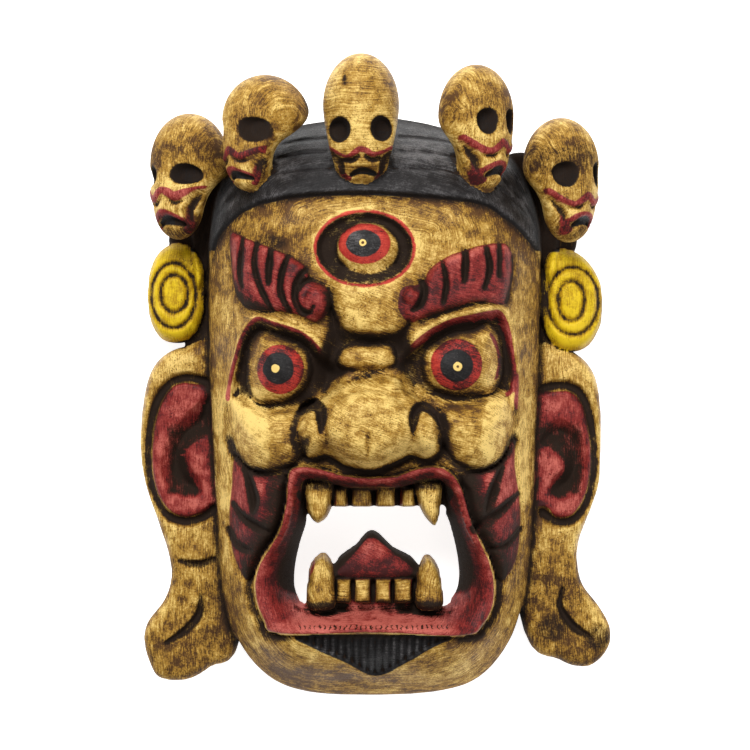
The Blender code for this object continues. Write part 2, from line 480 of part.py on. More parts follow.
def skull_cuts(skull, x, y):
    """Depth of the carving over a skull's face, seen from in front of it."""
    y = skull_face(skull, y)
    sockets = np.maximum(*(-ellipse_distance((centre, skull[5]), x, y) for centre in SKULL_EYES))
    folds = np.maximum.reduce([inside_stroke(points, x, y) for points in SKULL_FOLDS + SKULL_LIP_SHADOWS])
    depth = 6 * ramp((1 + sockets) / 3.5)
    depth = np.maximum(depth, 2.8 * ramp((folds + 1.0) / 2.2))
    depth = np.maximum(depth, 3.4 * ramp((inside_stroke(SKULL_MOUTH, x, y) + 1.0) / 2.4))
    lip = inside_stroke(SKULL_LIP, x, y)
    return depth - 0.8 * ramp((lip + 0.8) / 1.6)


def ellipsoid_distance(centre, radii, x, y, z):
    """Signed distance to an ellipsoid, negative inside."""
    p = [(v - c, r) for v, c, r in zip((x, y, z), centre, radii)]
    near_one = np.sqrt(sum((v / r) ** 2 for v, r in p))
    slope = np.sqrt(sum((v / r**2) ** 2 for v, r in p)) + 1e-6
    return near_one * (near_one - 1) / slope


def skull_distance(skull, x, y, z):
    """Signed distance to one skull of the crown."""
    size, length, (jaw_width, jaw_forward) = skull[2:5]
    u, v, w = skull_place(skull, x, y, z)
    cranium = ellipsoid_distance((0, 8, 20 - length), (20.5, 28, length), u, v, w)
    cranium = soft_max(cranium, 0.88 * (-11 - 0.56 * w - v), 9)
    jaw = ellipsoid_distance((0, -13.5, jaw_forward), (jaw_width, 21.2, 15.5), u, v, w)
    return (soft_min(cranium, jaw, 10) + skull_cuts(skull, u, v) * ramp((w - 2) / 8)) * size


def carve_block(step):
    """The carving as signed distances on a grid of voxels, and the grid's first corner, as drawn."""
    xs, ys, zs = np.arange(-138, 138, step), np.arange(-186, 182, step), np.arange(-6, 122, step)
    x, y = np.meshgrid(xs, ys, indexing="ij")
    top, back, outline, opening = carve_board(x, y)
    slope = 1 / np.sqrt(1 + sum((g / step) ** 2 for g in np.gradient(blurred(top, 1))))
    over = (zs - top[..., None]) * slope[..., None]
    block = soft_max(over, outline[..., None] + 0 * over, drawn(EDGE_ROUNDING))
    block = soft_max(block, back[..., None] - zs, 2)
    block = soft_max(block, -opening[..., None] + 0 * over, 2)
    for skull in SKULLS:
        reach = 45 * skull[2]
        part = tuple(slice(*np.searchsorted(axis, (c - reach, c + reach)))
                     for axis, c in zip((xs, ys, zs), skull[0]))
        grid = np.meshgrid(xs[part[0]], ys[part[1]], zs[part[2]], indexing="ij")
        block[part] = soft_min(block[part], skull_distance(skull, *grid), 3)
    return block, np.array((xs[0], ys[0], zs[0]))


def largest_piece(count, quads):
    """Which points hang together with the most others, as a mask over the points."""
    labels = np.arange(count)
    while True:
        lowest = labels[quads].min(axis=1)
        spread = labels.copy()
        np.minimum.at(spread, quads, lowest[:, None])
        spread = spread[spread]
        if (spread == labels).all():
            return labels == np.bincount(labels).argmax()
        labels = spread


def surface_mesh(name, block, corner, step):
    """The surface of a block of signed distances as a mesh, in metres, with its loose crumbs left out."""
    grid = openvdb.FloatGrid(3 * step)
    grid.copyFromArray(np.clip(block, -3 * step, 3 * step).astype(np.float32))
    points, quads = (np.asarray(part) for part in grid.convertToQuads(0.0))
    quads = quads.astype(int)
    kept = largest_piece(len(points), quads)
    number = np.cumsum(kept) - 1
    mesh = bpy.data.meshes.new(name)
    places = (points[kept] * step + corner - DRAWN_CENTRE) * SCALE
    mesh.from_pydata(places, [], number[quads[kept[quads[:, 0]]]].tolist())
    return mesh


def add_box(name, corner, opposite):
    """A box between two corners."""
    bm = bmesh.new()
    bmesh.ops.create_cube(bm, size=1.0)
    low, high = np.array(corner, float), np.array(opposite, float)
    for vert in bm.verts:
        vert.co = (low + high) / 2 + (high - low) * vert.co
    mesh = bpy.data.meshes.new(name)
    bm.to_mesh(mesh)
    bm.free()
    return bpy.data.objects.new(name, mesh)


def make_mask(collection, tools):
    """The whole mask: one carved block, thinned, and sawn flat where it lies."""
    step = drawn(VOXEL)
    mesh = surface_mesh("mask", *carve_block(step), step)
    mask = bpy.data.objects.new("mask", mesh)
    collection.objects.link(mask)
    material = bpy.data.materials.new("painted_wood")
    material.use_nodes = True
    shader = material.node_tree.nodes["Principled BSDF"]
    shader.inputs["Base Color"].default_value = WOOD
    shader.inputs["Roughness"].default_value = 0.55
    mesh.materials.append(material)
    thin = mask.modifiers.new("thin", "DECIMATE")
    thin.ratio = TRIANGLES / (2 * len(mesh.polygons))
    saw = add_box("back_saw", (-MASK_HEIGHT, -MASK_HEIGHT, -0.1), (MASK_HEIGHT, MASK_HEIGHT, 0))
    saw.hide_render = True
    saw.display_type = "WIRE"
    tools.objects.link(saw)
    flat = mask.modifiers.new("flat_back", "BOOLEAN")
    flat.operation = "DIFFERENCE"
    flat.solver = "EXACT"
    flat.object = saw
    return mask


def main():
    for obj in list(bpy.data.objects):
        bpy.data.objects.remove(obj)
    collection, tools = (bpy.data.collections.new(name) for name in ("cham_mask", "carving_tools"))
    for each in (collection, tools):
        bpy.context.scene.collection.children.link(each)
    make_mask(collection, tools)


main()
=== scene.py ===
"""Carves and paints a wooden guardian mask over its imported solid, and lays it on a pale floor.

The carving follows the same drawing as the solid, on a finer grid: a board seen from the front, in
millimetres for a mask DRAWN_HEIGHT tall, x to the right and y up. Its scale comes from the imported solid's own
height.
"""

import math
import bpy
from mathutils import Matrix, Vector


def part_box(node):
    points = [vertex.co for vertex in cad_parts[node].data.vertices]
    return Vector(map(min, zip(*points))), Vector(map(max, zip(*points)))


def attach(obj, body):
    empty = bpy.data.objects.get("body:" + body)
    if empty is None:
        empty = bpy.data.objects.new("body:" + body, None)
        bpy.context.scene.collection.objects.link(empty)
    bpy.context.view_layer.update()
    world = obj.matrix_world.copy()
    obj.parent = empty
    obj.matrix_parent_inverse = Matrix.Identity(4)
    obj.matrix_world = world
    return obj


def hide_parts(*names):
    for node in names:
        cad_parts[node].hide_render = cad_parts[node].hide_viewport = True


bl_info = {
    "name": "Carved Guardian Mask",
    "version": (1, 0, 0),
    "blender": (4, 5, 0),
    "location": "View3D > Sidebar > Mask",
    "description": "Carves and paints a wooden guardian mask with a crown of skulls",
    "category": "Add Mesh",
}

from functools import reduce
from typing import NamedTuple

import bpy
import numpy as np
import openvdb
from bpy.props import FloatProperty, FloatVectorProperty, IntProperty, PointerProperty
from mathutils import Vector

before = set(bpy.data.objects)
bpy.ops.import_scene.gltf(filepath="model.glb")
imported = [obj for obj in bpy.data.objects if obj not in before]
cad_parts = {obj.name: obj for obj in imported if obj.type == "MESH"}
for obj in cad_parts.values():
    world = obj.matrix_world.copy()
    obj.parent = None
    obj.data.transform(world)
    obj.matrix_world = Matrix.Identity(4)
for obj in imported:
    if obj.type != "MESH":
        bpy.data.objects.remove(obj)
SOLID_LOW, SOLID_HIGH = (np.array(corner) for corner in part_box("mask"))
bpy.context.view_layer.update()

DRAWN_HEIGHT = 351.0
DRAWN_CENTRE = (0.0, -2.6, 0.0)  # what comes to lie over the origin
SCALE = (SOLID_HIGH[1] - SOLID_LOW[1]) / DRAWN_HEIGHT
FAR = 1000.0  # a distance that stands for nowhere near

# Real sizes of the solid, in metres
FACE_DEPTH = 0.084
JAW_DEPTH = 0.036
EAR_THICKNESS = 0.030
STRIP_THICKNESS = 0.021
HOLLOW_DEPTH = 0.052
HOLLOW_WALL = 0.014
RIM_WIDTH = 0.017
EDGE_ROUNDING = 0.005


def drawn(size):
    """A real size in metres as millimetres on the drawing."""
    return size / SCALE


# Lengths from here on are in drawn millimetres
GRID_LIMITS = ((-138, 138), (-186, 182), (-6, 122))  # lowest and highest along x, y and z
FACE_BOW = (50, 2.4)  # how far in from its outline the face still rises, and how steeply it starts
HOLLOW_BOW = (30, 2.2)
FOREHEAD_LINE = 80  # above it the forehead leans back
FOREHEAD_SLOPE = 0.25
GOUGE_UNEVENNESS = 0.35
THINNING_REACH = 6  # grid steps over which the hollow follows the front
RECESS_REACH = 2.4  # half width of the places that count as a tight recess or a sharp edge
SHADE_REACH = 7.0  # the same for wide hollows and rounded forms
SKULL_SKIN = 0.9  # what is this near a skull is painted as one
BACK_LEAN = -0.35  # faces whose normal's z is under this are left as bare wood
RIM_ROUNDING = 2  # of the edges of the hollow and of the mouth
SKULL_SEAT = 3  # how softly a skull runs into the headband
UNDERSIDE_ROUNDING = 9
JAW_BLEND = 10  # how softly a skull's jaw runs into its cranium

# Cuts and ridges: depth or height, how far outside its outline each begins, and how wide its slope is
EAR_CUT = (4.5, 4.2, 3.6)
EAR_HOLLOW = (9, 1, 8)
LOBE_CUT = (4, 1.4, 3)
EARRING_CUT = (1.8, 2.3, 2.2)
HEADBAND_STEP = (4.5, 0, 3)
HEADBAND_CUT = (2.2, 1.2, 2.4)
THIRD_EYE_CUT = (5, 0, 3.5)
EYE_HOLLOW = (9, 3, 8)
LID_RIDGE = (3, 5, 4)
VALLEY_CUT = (8, 3, 10)
NOSE_UNDERCUT = (4, 5, 5)
NOSTRIL_CUT = (7, 1.1, 3.4)
NOSE_DENT_CUT = (1.6, 1.2, 2)
CHEEK_UNDERCUT = (3, 4, 4)
BROW_CUT = (5, 1.2, 3)
FLAME_RIM = (3, 3, 3)
FLAME_CUT = (5, 1.2, 3.4)
SOCKET_CUT = (6, 1, 3.5)
FOLD_CUT = (2.8, 1, 2.2)
SKULL_MOUTH_CUT = (3.4, 1, 2.4)
SKULL_LIP_RIDGE = (0.8, 0.8, 1.6)

# Rounded pads: how far sunk at the outline, how far raised at the top, and how wide the rounded edge is
EAR_PAD = (7, 0, 9)
EARRING_PAD = (6, 4, 15)
THIRD_EYEBALL_PAD = (5, 4, 12)
EYEBALL_PAD = (8, 5, 19)
BOSS_PAD = (8, 0, 7)
BRIDGE_PAD = (8, 5, 7)
NOSE_PAD = (7, 16, 16)
CHEEK_PAD = (5, 9, 17)
BROW_PAD = (1, 7, 5)
CURL_PAD = (2, 10.5, 6)
FLAME_PAD = (3, 3, 7)
TOOTH_PAD = (0, 10, 2.6)
FANG_PAD = (0, 15, 4.5)
TONGUE_PAD = (0, 11, 9)

# Domes on top of pads: height, and how far in from the outline they still rise
BOSS_DOME = (7, 14)
NOSE_DOME = (8, 20)
WING_DOME = (3, 7)
LIP_DOME = (5, 2.5)

# Heights in the mouth over the back
LIP_CURVE = 1.5  # how long the lips stay high before they drop to the floor
MOUTH_FLOOR = 45
TONGUE_FOOT = 54
LEDGE_HEIGHT = 57
UPPER_GUM_HEIGHT = 60
LOWER_GUM_HEIGHT = 58
TOOTH_FOOT = 61
FANG_FOOT = 62

# Tuft under the lip: depth of its bed and of its grooves, and from one groove to the next
TUFT_BED = 3
TUFT_GROOVE = 1.1
TUFT_LINE = 4.1

# Outlines of the board
HEAD = [(-83, 111), (-91, 80), (-92, 25), (-90, -30), (-87, -82), (-84, -122), (-76, -148), (-60, -167),
        (-38, -176), (-3, -178), (34, -176), (58, -168), (75, -148), (83, -122), (87, -80), (89, -30),
        (91, 25), (91, 80), (80, 114), (64, 128), (41, 137), (19, 142), (-2, 144), (-24, 142), (-46, 138),
        (-68, 128)]
LEFT_EAR = [(-88, 14), (-105, 16), (-118, 11), (-126, 0), (-130, -19), (-131, -41), (-128, -61), (-121, -82),
            (-115, -101), (-114, -114), (-118, -126), (-127, -138), (-129, -148), (-126, -160), (-120, -169),
            (-105, -170), (-92, -163), (-76, -148), (-72, -60)]
RIGHT_EAR = [(88, 12), (103, 15), (115, 10), (123, -1), (126, -19), (126, -41), (125, -60), (120, -76),
             (114, -92), (113, -104), (116, -117), (125, -129), (131, -140), (131, -150), (125, -159),
             (116, -163), (103, -159), (84, -144), (72, -60)]
EARRINGS = [[(-113, 73), (-121, 68), (-126, 57), (-127, 41), (-125, 29), (-119, 20), (-110, 18), (-102, 21),
             (-96, 31), (-94, 44), (-95, 59), (-102, 71)],
            [(99, 69), (111, 69), (120, 62), (126, 51), (127, 39), (126, 28), (120, 17), (111, 13), (101, 15),
             (94, 25), (91, 41), (93, 59)]]
STRIPS = [[(-115, 72), (-113, 84), (-105, 98), (-97, 114), (-84, 121), (-70, 116), (-74, 90), (-78, -10),
           (-104, -6), (-106, 20), (-99, 44), (-108, 64)],
          [(112, 70), (112, 82), (103, 98), (93, 117), (82, 124), (70, 118), (74, 90), (78, -10), (100, -6),
           (102, 16), (97, 40), (106, 62)]]
HEADBAND = [(-100, 52), (-100, 160), (0, 175), (100, 160), (100, 52), (89, 66), (80, 76), (68, 85), (56, 91),
            (30, 94), (-2, 96), (-35, 95), (-62, 91), (-76, 84), (-85, 74), (-90, 62)]

# Outlines of the face
THIRD_EYE = ((-5.5, 67.5), (26, 19.7))
THIRD_EYEBALL = ((-4, 67.5), (17.3, 14.5))
VALLEY = [(-27, 43), (-25, 24), (-32, 6), (-27, -12), (-14, 2), (12, 3), (22, -10), (20, 12), (18, 26),
          (26, 44), (19, 43), (14, 24), (-16, 24), (-21, 42)]
BOSS = [(-21, 57), (-12, 60), (12, 60), (20, 57), (23.5, 47), (23.5, 37), (18, 27), (9, 21), (-1.5, 19.5),
        (-12, 22), (-20, 28), (-24, 37), (-24, 47)]
NOSE_WINGS = [((-34.5, -33), (8, 10)), ((29, -32), (8, 10))]
NOSE_TIP = ((-3, -29), (23, 21))
BRIDGE = [(-20, 12), (-14, 17), (-2, 17), (8, 17), (12, 11), (11, 5), (5, 2), (-13, 1.5), (-20.5, 6)]
NOSE = [(-17, -3), (-2, 0), (12, 0), (18, -8), (27, -14), (34, -19), (37, -30), (35, -41), (27, -45.5),
        (19, -43.5), (11, -47), (-2, -51.5), (-16, -49), (-26, -43.5), (-35, -45), (-41, -39), (-42.5, -29),
        (-39, -20), (-31, -14), (-23, -8)]
LEFT_EYE = [(-61, 24), (-48, 20), (-38, 15), (-34, 7), (-35, -3), (-43, -12), (-55, -15), (-63, -15),
            (-68, -10), (-70, 3), (-68, 16)]
RIGHT_EYE = [(61, 28), (52, 24.5), (42, 23), (33, 18), (26, 12), (25, 3), (28, -5), (35, -9), (44, -11),
             (56, -11), (64, -9), (69, 0), (69, 12), (67, 22)]
LEFT_HOLLOW = [(-28, 9), (-34, 17), (-42, 22), (-55, 26), (-63, 28), (-69, 22), (-73, 10), (-77, -5),
               (-78, -12), (-69, -15), (-60, -20), (-40, -20), (-30, -14), (-23, -7), (-18, 1)]
RIGHT_HOLLOW = [(14, 8), (21, 16), (30, 23), (40, 28), (52, 31), (62, 33), (67, 33), (71, 26), (73, 16),
                (75, 2), (73, -9), (64, -12), (51, -15), (35, -15), (24, -10), (16, -2)]
LEFT_LID = [(-28, 11), (-34, 18), (-42, 23.5), (-55, 27.5), (-63, 30), (-70, 23), (-75, 10), (-79, -5),
            (-80, -13)]
RIGHT_LID = [(14, 9), (21, 17.5), (30, 25), (40, 29.5), (52, 32.5), (62, 35), (68, 35), (72, 27), (75, 16),
             (76.5, 2), (76.5, -18)]
LEFT_CHEEK = [(-79, -12), (-69, -16), (-60, -20), (-41, -20), (-35, -25), (-37, -35), (-40, -44), (-49, -50),
              (-60, -52), (-69, -50), (-76, -42), (-80, -28)]
RIGHT_CHEEK = [(36, -18), (50, -16), (64, -12), (71, -12), (76, -19), (76, -29), (72, -41), (64, -49),
               (53, -51), (43, -47), (37, -38), (33, -26)]
LEFT_BROW = [(-78, 77), (-68, 73), (-51, 66), (-38, 59), (-34, 51), (-27, 48), (-24, 40), (-26, 32),
             (-32, 28), (-41, 32), (-52, 34), (-66, 35), (-72, 39), (-76, 48), (-78, 62)]
RIGHT_BROW = [(71, 70), (61, 70), (46, 66), (35, 61), (29, 56), (26, 50), (20, 47), (14, 43), (12, 36),
              (18, 28), (28, 31), (40, 35), (54, 39), (70, 38), (73, 46), (75, 60)]
BROW_CURLS = [((-31.5, 39.3), (8, 9.5)), ((18.8, 41.8), (6.2, 6))]
BROW_CUTS = [[(-71, 75, 0.5), (-71.8, 66, 1.0), (-72.6, 54, 1.1), (-71, 47, 0.3)], [(-63, 70.5, 0.9),
              (-64.6, 60, 1.1), (-61.4, 47, 1.3), (-54, 33.5, 0.7)], [(-55.5, 67, 1.0), (-56.3, 58, 1.5),
              (-56.8, 49, 1.0)], [(-46, 64, 0.8), (-49.7, 53.4, 1.2), (-49.9, 42.7, 1.4), (-43.5, 31, 0.6)],
             [(-36, 57, 0.8), (-41.5, 50, 1.3), (-42.6, 41, 1.5), (-39.6, 34.4, 1.5), (-35, 33, 1.0),
              (-32.6, 36.5, 0.4)], [(-41, 45, 0.6), (-38, 49.3, 1.0), (-32.5, 51.4, 0.9), (-27, 48.5, 0.4)],
             [(35.5, 60.5, 0.4), (37, 55, 0.8), (38, 48, 1.2), (36.4, 38.5, 0.8)],
             [(48, 67, 1.2), (48, 58, 1.8), (47.4, 50, 0.8)], [(59.4, 67.5, 1.1), (61.2, 57, 1.5),
              (58.2, 46, 0.6)], [(66.6, 70, 0.9), (66.4, 53, 0.7)], [(74.6, 64, 0.6), (74.4, 50, 0.9),
              (71, 39, 0.8)], [(24, 52.5, 0.6), (26.2, 45, 1.5), (24.2, 37.8, 1.6), (20, 34.6, 0.8)]]
NOSTRILS = [[(-41.5, -22, 1.2), (-38, -18, 2.2), (-33, -16, 2.8), (-29.2, -18, 3.0), (-28.4, -24, 2.2),
             (-28.6, -30, 0.6)],
            [(19.8, -30, 0.5), (20, -25, 2.0), (21.6, -19, 2.6), (25.5, -16.8, 2.4), (30, -19, 1.8),
             (34, -24.5, 1.4), (36, -31, 0.8)]]
NOSE_DENT = [(-3.7, -31, 0.3), (-3.6, -36, 0.9), (-3.8, -42, 0.4)]
LIP_OUTER = [(-46, -52), (-39, -48.5), (-30, -49.5), (-17, -53), (-2, -54.5), (11, -53.5), (23, -49.5),
             (33, -48.5), (42, -53), (47, -62), (52, -79), (61, -97), (65, -111), (64, -125), (58, -135),
             (48, -140), (0, -138), (-52, -139), (-60, -133), (-65, -120), (-65, -109), (-61, -98),
             (-52, -84), (-48, -70)]
LIP_INNER = [(-39, -56), (-28, -56), (-15, -59), (-1, -60.5), (13, -59), (26, -56), (37, -56), (41, -68),
             (45, -81), (51, -94), (53, -107), (51, -116), (45, -122), (35, -124), (-35, -124), (-45, -122),
             (-51, -114), (-50, -102), (-45, -89), (-41, -76)]
MOUTH_OPENING = [(-30, -71.5), (0, -71.5), (33, -71.5), (37.4, -76), (41, -83), (44.5, -95.5), (46.2, -108),
                 (45, -117), (41, -122), (36, -124), (0, -124), (-36, -122.5), (-41, -121), (-43.8, -116.5),
                 (-44.3, -110), (-43.2, -101), (-40.5, -90.3), (-36.5, -80), (-34, -74)]
UPPER_GUM = [(-38, -59), (0, -60), (38, -59), (37, -70), (0, -71.5), (-37, -70)]
LOWER_GUM = [(-30, -128), (-30, -112), (-15, -110), (0, -110), (15, -110), (30, -112), (30, -128), (0, -128)]
UPPER_TEETH = [((-18.8, -66), (3.9, 6)), ((-7.4, -66), (5.5, 6)), ((5.6, -66), (5.2, 6)), ((17.8, -66),
               (3.9, 6))]
LOWER_TEETH = [((-17, -117), (4, 6.4)), ((-6.9, -117), (4, 6.4)), ((4.6, -117), (4.2, 6.4)),
               ((15.4, -117), (4.7, 6.4))]
FANGS = [[(-38.5, -57), (-23.5, -57), (-23, -68), (-25.5, -76.5), (-31, -80.5), (-35.5, -76.5), (-38, -68)],
         [(21.5, -57), (36, -57), (35.8, -69), (34.8, -77.5), (32, -82), (27, -77), (23, -69)],
         [(-36.5, -126), (-36.6, -110), (-34.6, -102), (-28.5, -97), (-23.5, -101.5), (-21.8, -111),
          (-22, -126)], [(22.6, -126), (22.6, -110), (24, -103), (28.5, -98), (34, -103.5), (36.4, -113),
          (36.4, -126)]]
TONGUE = [(-1.5, -85), (-11, -93), (-21, -101), (-23, -112), (24, -112), (22, -101), (10, -94)]
FLAMES = [[(-76, -45), (-68, -51), (-59, -54), (-48, -55), (-48, -68), (-53, -84), (-61, -98), (-68, -111),
           (-74, -105), (-78, -94), (-79.5, -79), (-78, -62)], [(75.5, -34), (68, -47), (57, -52), (48, -54),
           (48, -68), (53, -81), (62, -98), (66, -110), (71, -110), (77, -100), (79, -85), (79, -69),
           (76, -50)]]
FLAME_CUTS = [[(-70.5, -50, 0.3), (-67.2, -58, 1.6), (-65, -67, 2.2), (-65.4, -73, 0.5)],
              [(-77, -69.5, 0.3), (-71, -76.5, 1.3), (-64, -81, 2.0), (-57, -84, 1.0)],
              [(-79.6, -84, 0.6), (-75, -91.5, 1.5), (-69, -94, 1.4), (-66, -94.5, 0.5)],
              [(68.5, -50, 0.3), (64.8, -58, 1.8), (62, -67, 2.2), (60, -73, 1.0)],
              [(77.5, -64.5, 0.3), (68.5, -72, 1.8), (58, -79, 3.0), (54, -82, 2.0)],
              [(79, -84, 0.5), (70, -92, 1.3), (62, -93, 1.6)]]
GOATEE = [(-42, -139.5), (0, -139), (40, -140), (31, -146), (15, -156), (0, -163), (-17, -154), (-34, -146)]

# Cuts in the ears, earrings and headband
EAR_CUTS = [[(-90, -5), (-98, -2.5), (-106, -1.5), (-114, -5), (-121, -15), (-125, -31), (-126, -50),
             (-123, -65), (-116, -77), (-106, -81), (-96, -79), (-89, -74)], [(92, -8), (99, -6), (108, -6.5),
             (115, -12), (120, -27), (122, -47), (120, -63), (115, -75), (108, -81), (100, -81), (93, -76)]]
EAR_HOLLOWS = [[(-91, -12), (-101, -19), (-110, -29), (-117, -43), (-119, -55), (-114, -65), (-105, -68),
                (-96.5, -66), (-96.5, -59), (-101.5, -52), (-104, -44), (-100.5, -36.5), (-89, -31)],
               [(92, -38), (101, -36.5), (105.5, -42.5), (104.5, -52), (98.5, -57), (96.5, -65), (103, -69),
                (112, -64), (117, -51), (116.5, -41), (111, -30), (100, -25)]]
LOBE_CUTS = [[(-108, -103, 0.5), (-98, -104.8, 1.6), (-89.5, -102, 1.0)],
             [(-96.5, -122, 0.4), (-97.4, -132, 1.8), (-104, -140.5, 1.8), (-116, -148.5, 0.5)],
             [(104, -118, 0.5), (102.5, -128, 1.2), (109, -138.5, 2.0), (119, -145, 0.8)]]
EARRING_RINGS = [((-111.5, 44), (12.4, 18)), ((-111, 45), (7.7, 10.3)), ((109.5, 41), (14.3, 18.7)),
                 ((108.5, 41), (7.4, 11))]
HEADBAND_CUTS = [[(-50, 126, 0.4), (-40, 128, 0.9), (-26, 129, 0.8)], [(-89, 84, 0.5), (-74, 101, 1.2),
                  (-60, 108, 1.3), (-46, 110.5, 1.0), (-24, 111, 0.8)], [(13, 129.5, 0.8), (27, 129, 1.0),
                  (41, 127, 0.5)], [(10, 111, 0.8), (27, 111, 1.0), (44, 109, 1.2), (66, 101, 1.3),
                  (85, 85, 0.6)], [(-92, 78, 0.4), (-84, 98, 1.1), (-72, 117, 0.8), (-64, 125, 0.3)],
                 [(-95, 66, 0.3), (-90, 86, 0.9), (-84, 101, 0.5)], [(-52, 117.5, 0.3), (-38, 120, 0.7),
                  (-27, 120.5, 0.5)], [(14, 120.5, 0.4), (30, 120, 0.7), (44, 118, 0.3)], [(92, 72, 0.4),
                  (82, 92, 1.0), (70, 105, 0.6)], [(93, 80, 0.3), (88, 98, 0.8), (79, 113, 0.4)]]

EAR_PANELS = [[(-60, -8), (-97, -7), (-106, -6), (-113, -10), (-118, -20), (-121, -33), (-121.5, -50),
               (-119, -64), (-113, -73), (-105, -77), (-97, -75), (-60, -68)], [(60, -12), (98, -11),
               (107, -11), (112.5, -16), (116, -28), (118, -47), (116, -62), (112, -71), (107, -76.5),
               (101, -77), (94, -71), (60, -66)]]

# Painted shapes that no cut gives: centre and half axes
IRISES = [((-50.5, 3), (12.7, 13.2)), ((43.5, 5.5), (13.8, 13.8)), ((-5.6, 70), (14, 11))]
PUPILS = [((-51.5, 3.5), (8.4, 8.6)), ((43.5, 5), (8.8, 8.8)), ((-6.2, 70.2), (9.3, 7.3))]
PUPIL_DOTS = [((-53, 3.5), (2.2, 2.6)), ((44, 4.5), (2.4, 2.4)), ((-6.5, 70.5), (1.9, 1.9))]
EYE_LINE = [(62, 22), (66, 14), (67, 5), (65, -2)]
TONGUE_TOP = [(-2, -88), (-11, -96.5), (-20, -105.5), (-17, -109.5), (0, -109.8), (17, -109), (20.5, -105),
              (9.5, -96)]
TOOTH_LINES = [[(-21.8, -61), (-21.2, -69.5)], [(-12.6, -62.5), (-13.4, -70)], [(0.6, -62), (0, -70)],
               [(14.8, -61), (14, -70)], [(8.2, -112), (8.6, -121)], [(20, -111.5), (19.6, -119)],
               [(-32.8, -101), (-35.3, -109)]]
EAR_TRAGI = [[(-86, -34), (-98, -37), (-104, -43.4), (-102.6, -54.5), (-98, -62), (-95.5, -69), (-86, -73)],
             [(86, -40), (98, -42.5), (104.4, -49), (103.5, -54.5), (98.9, -60), (95.3, -67), (86, -72)]]

# Dark smudges: centre, stretch across and up, strength, and from where to where they fade. On the forehead,
# earrings and middle skull they are wash that the wiping left; beside the nose and on the chin and jaw they
# are wash with painted shade; on the ears they darken the lobes and where the ears meet the jaw.
FACE_SMUDGES_AND_SHADE = [((-25, -21), (1.1, 1), 0.78, (1, 17)), ((27, -28), (1.3, 1), 0.5, (1, 12)),
                ((-12, -171), (0.35, 1), 0.7, (3, 11)), ((34, -158), (1, 1), 0.62, (4, 26)),
                ((-78, -112), (1.4, 0.6), 0.68, (4, 22)), ((-44, -152), (1, 1), 0.55, (2, 18))]
FOREHEAD_SMUDGES = [((-55, 71), (0.6, 1), 0.9, (2, 15)), ((52, 72), (0.4, 1), 0.5, (2, 11))]
SIDE_SMUDGES = [((124, -145), (1, 1), 0.92, (4, 22)), ((98, -140), (1, 1), 0.9, (4, 24)),
                ((-90, -146), (1, 1), 0.8, (6, 34)), ((92, -120), (0.8, 1), 0.8, (8, 40)),
                ((122, -18), (1, 1), 0.6, (4, 22)), ((-119, -87), (1, 1), 0.75, (2, 8))]
EARRING_SMUDGES = [((-112, 72), (1, 1), 0.35, (4, 22)), ((108, 68), (1, 1), 0.5, (4, 20))]
# Painted highlight on the nose: centre, stretch across and up, strength, and from where to where it fades
NOSE_PAINTED_HIGHLIGHT = [((-2, -24), (1, 0.9), 0.3, (6, 26))]
MIDDLE_SKULL_SMUDGES = [((-8.6, 20), (1.6, 0.6), 0.97, (0.5, 6))]


class Skull(NamedTuple):
    """One skull of the crown. Its features are drawn as the middle skull's."""

    centre: tuple
    turn: float  # to the side, in degrees
    size: float
    length: float  # of the cranium behind its widest part
    jaw: tuple  # half width, and how far forward it is set
    socket: tuple  # half axes of an eye socket
    lifts: tuple  # how far the sockets, the lip and the mouth are lifted
    spread: float  # how far apart the sockets are, as a share


SKULLS = [Skull((-104, 108, 47), -32, 0.985, 25, (13.5, 6), (6.1, 7.0), (6.5, 10, 4), 1.0),
          Skull((-65.5, 130, 70), -45, 0.90, 31, (13, 4), (5.9, 6.8), (8.8, 6, 3), 1.15),
          Skull((-7.5, 137, 77), 0, 1.0, 25, (16.5, 3), (5.4, 6.4), (0, 0, 0), 1.0),
          Skull((55, 132, 70), 42, 0.98, 21, (12.8, 4), (4.9, 6.7), (11.8, 8.8, 5.8), 0.75),
          Skull((103.5, 106, 47), 36, 0.97, 23, (14, 4), (5.2, 6.4), (11.5, 7.7, 6), 0.98)]
SKULL_FEATURES = (-6.8, -18, -28)  # heights of the sockets, the lip and the mouth on the middle skull
SKULL_ENDS = (-40, 40)
SKULL_REACH = 45  # from a skull's centre to beyond its farthest point
CRANIUM_HALF = (20.5, 28)
CRANIUM_HEIGHT = 8
CRANIUM_FRONT = 20  # how far the brow stands before a skull's centre
SKULL_JAW_HALF = (21.2, 15.5)
SKULL_JAW_HEIGHT = -13.5
OUTER_TURNS = (32, 36)  # how far the two outermost skulls are turned
SKULL_EYES = [(-11.2, -6.8), (10.8, -6.2)]
SKULL_LIP = [(-17.6, -14.9, 0.6), (-11.9, -19.3, 0.9), (-7, -21.1, 1.0), (-2.6, -18.6, 1.5), (0, -17.2, 1.5),
             (3.5, -18.6, 1.5), (6.6, -20.2, 1.2), (11.9, -18.4, 1.0), (17.2, -15.3, 0.7)]
SKULL_FOLDS = [[(-16, -18, 0.5), (-12.8, -22, 1.3), (-10.6, -25.4, 1.3), (-9.6, -29, 0.5)],
               [(16.4, -18, 0.5), (13.2, -21.7, 1.3), (11.4, -25, 1.1), (10.6, -29, 0.5)]]
SKULL_LIP_SHADOWS = [[(-9.4, -22.8, 0.6), (-4.6, -22.8, 1.3), (-1.2, -21, 0.5)],
                     [(2.6, -20.9, 0.5), (5.8, -22.3, 1.3), (9.8, -21.8, 0.8)]]
SKULL_MOUTH = [(-5, -30.2, 1.1), (-1, -28.6, 1.7), (3, -28.5, 1.8), (7.4, -29.8, 1.2)]
SKULL_CORNERS = [[(-11.7, -25, 0.4), (-10.1, -29, 1.2), (-7.4, -32.3, 1.7), (-5.4, -31.4, 0.6)],
                 [(11.4, -24, 0.6), (10.9, -27.4, 0.8), (9, -31, 1.1), (7.3, -33.4, 0.7)]]
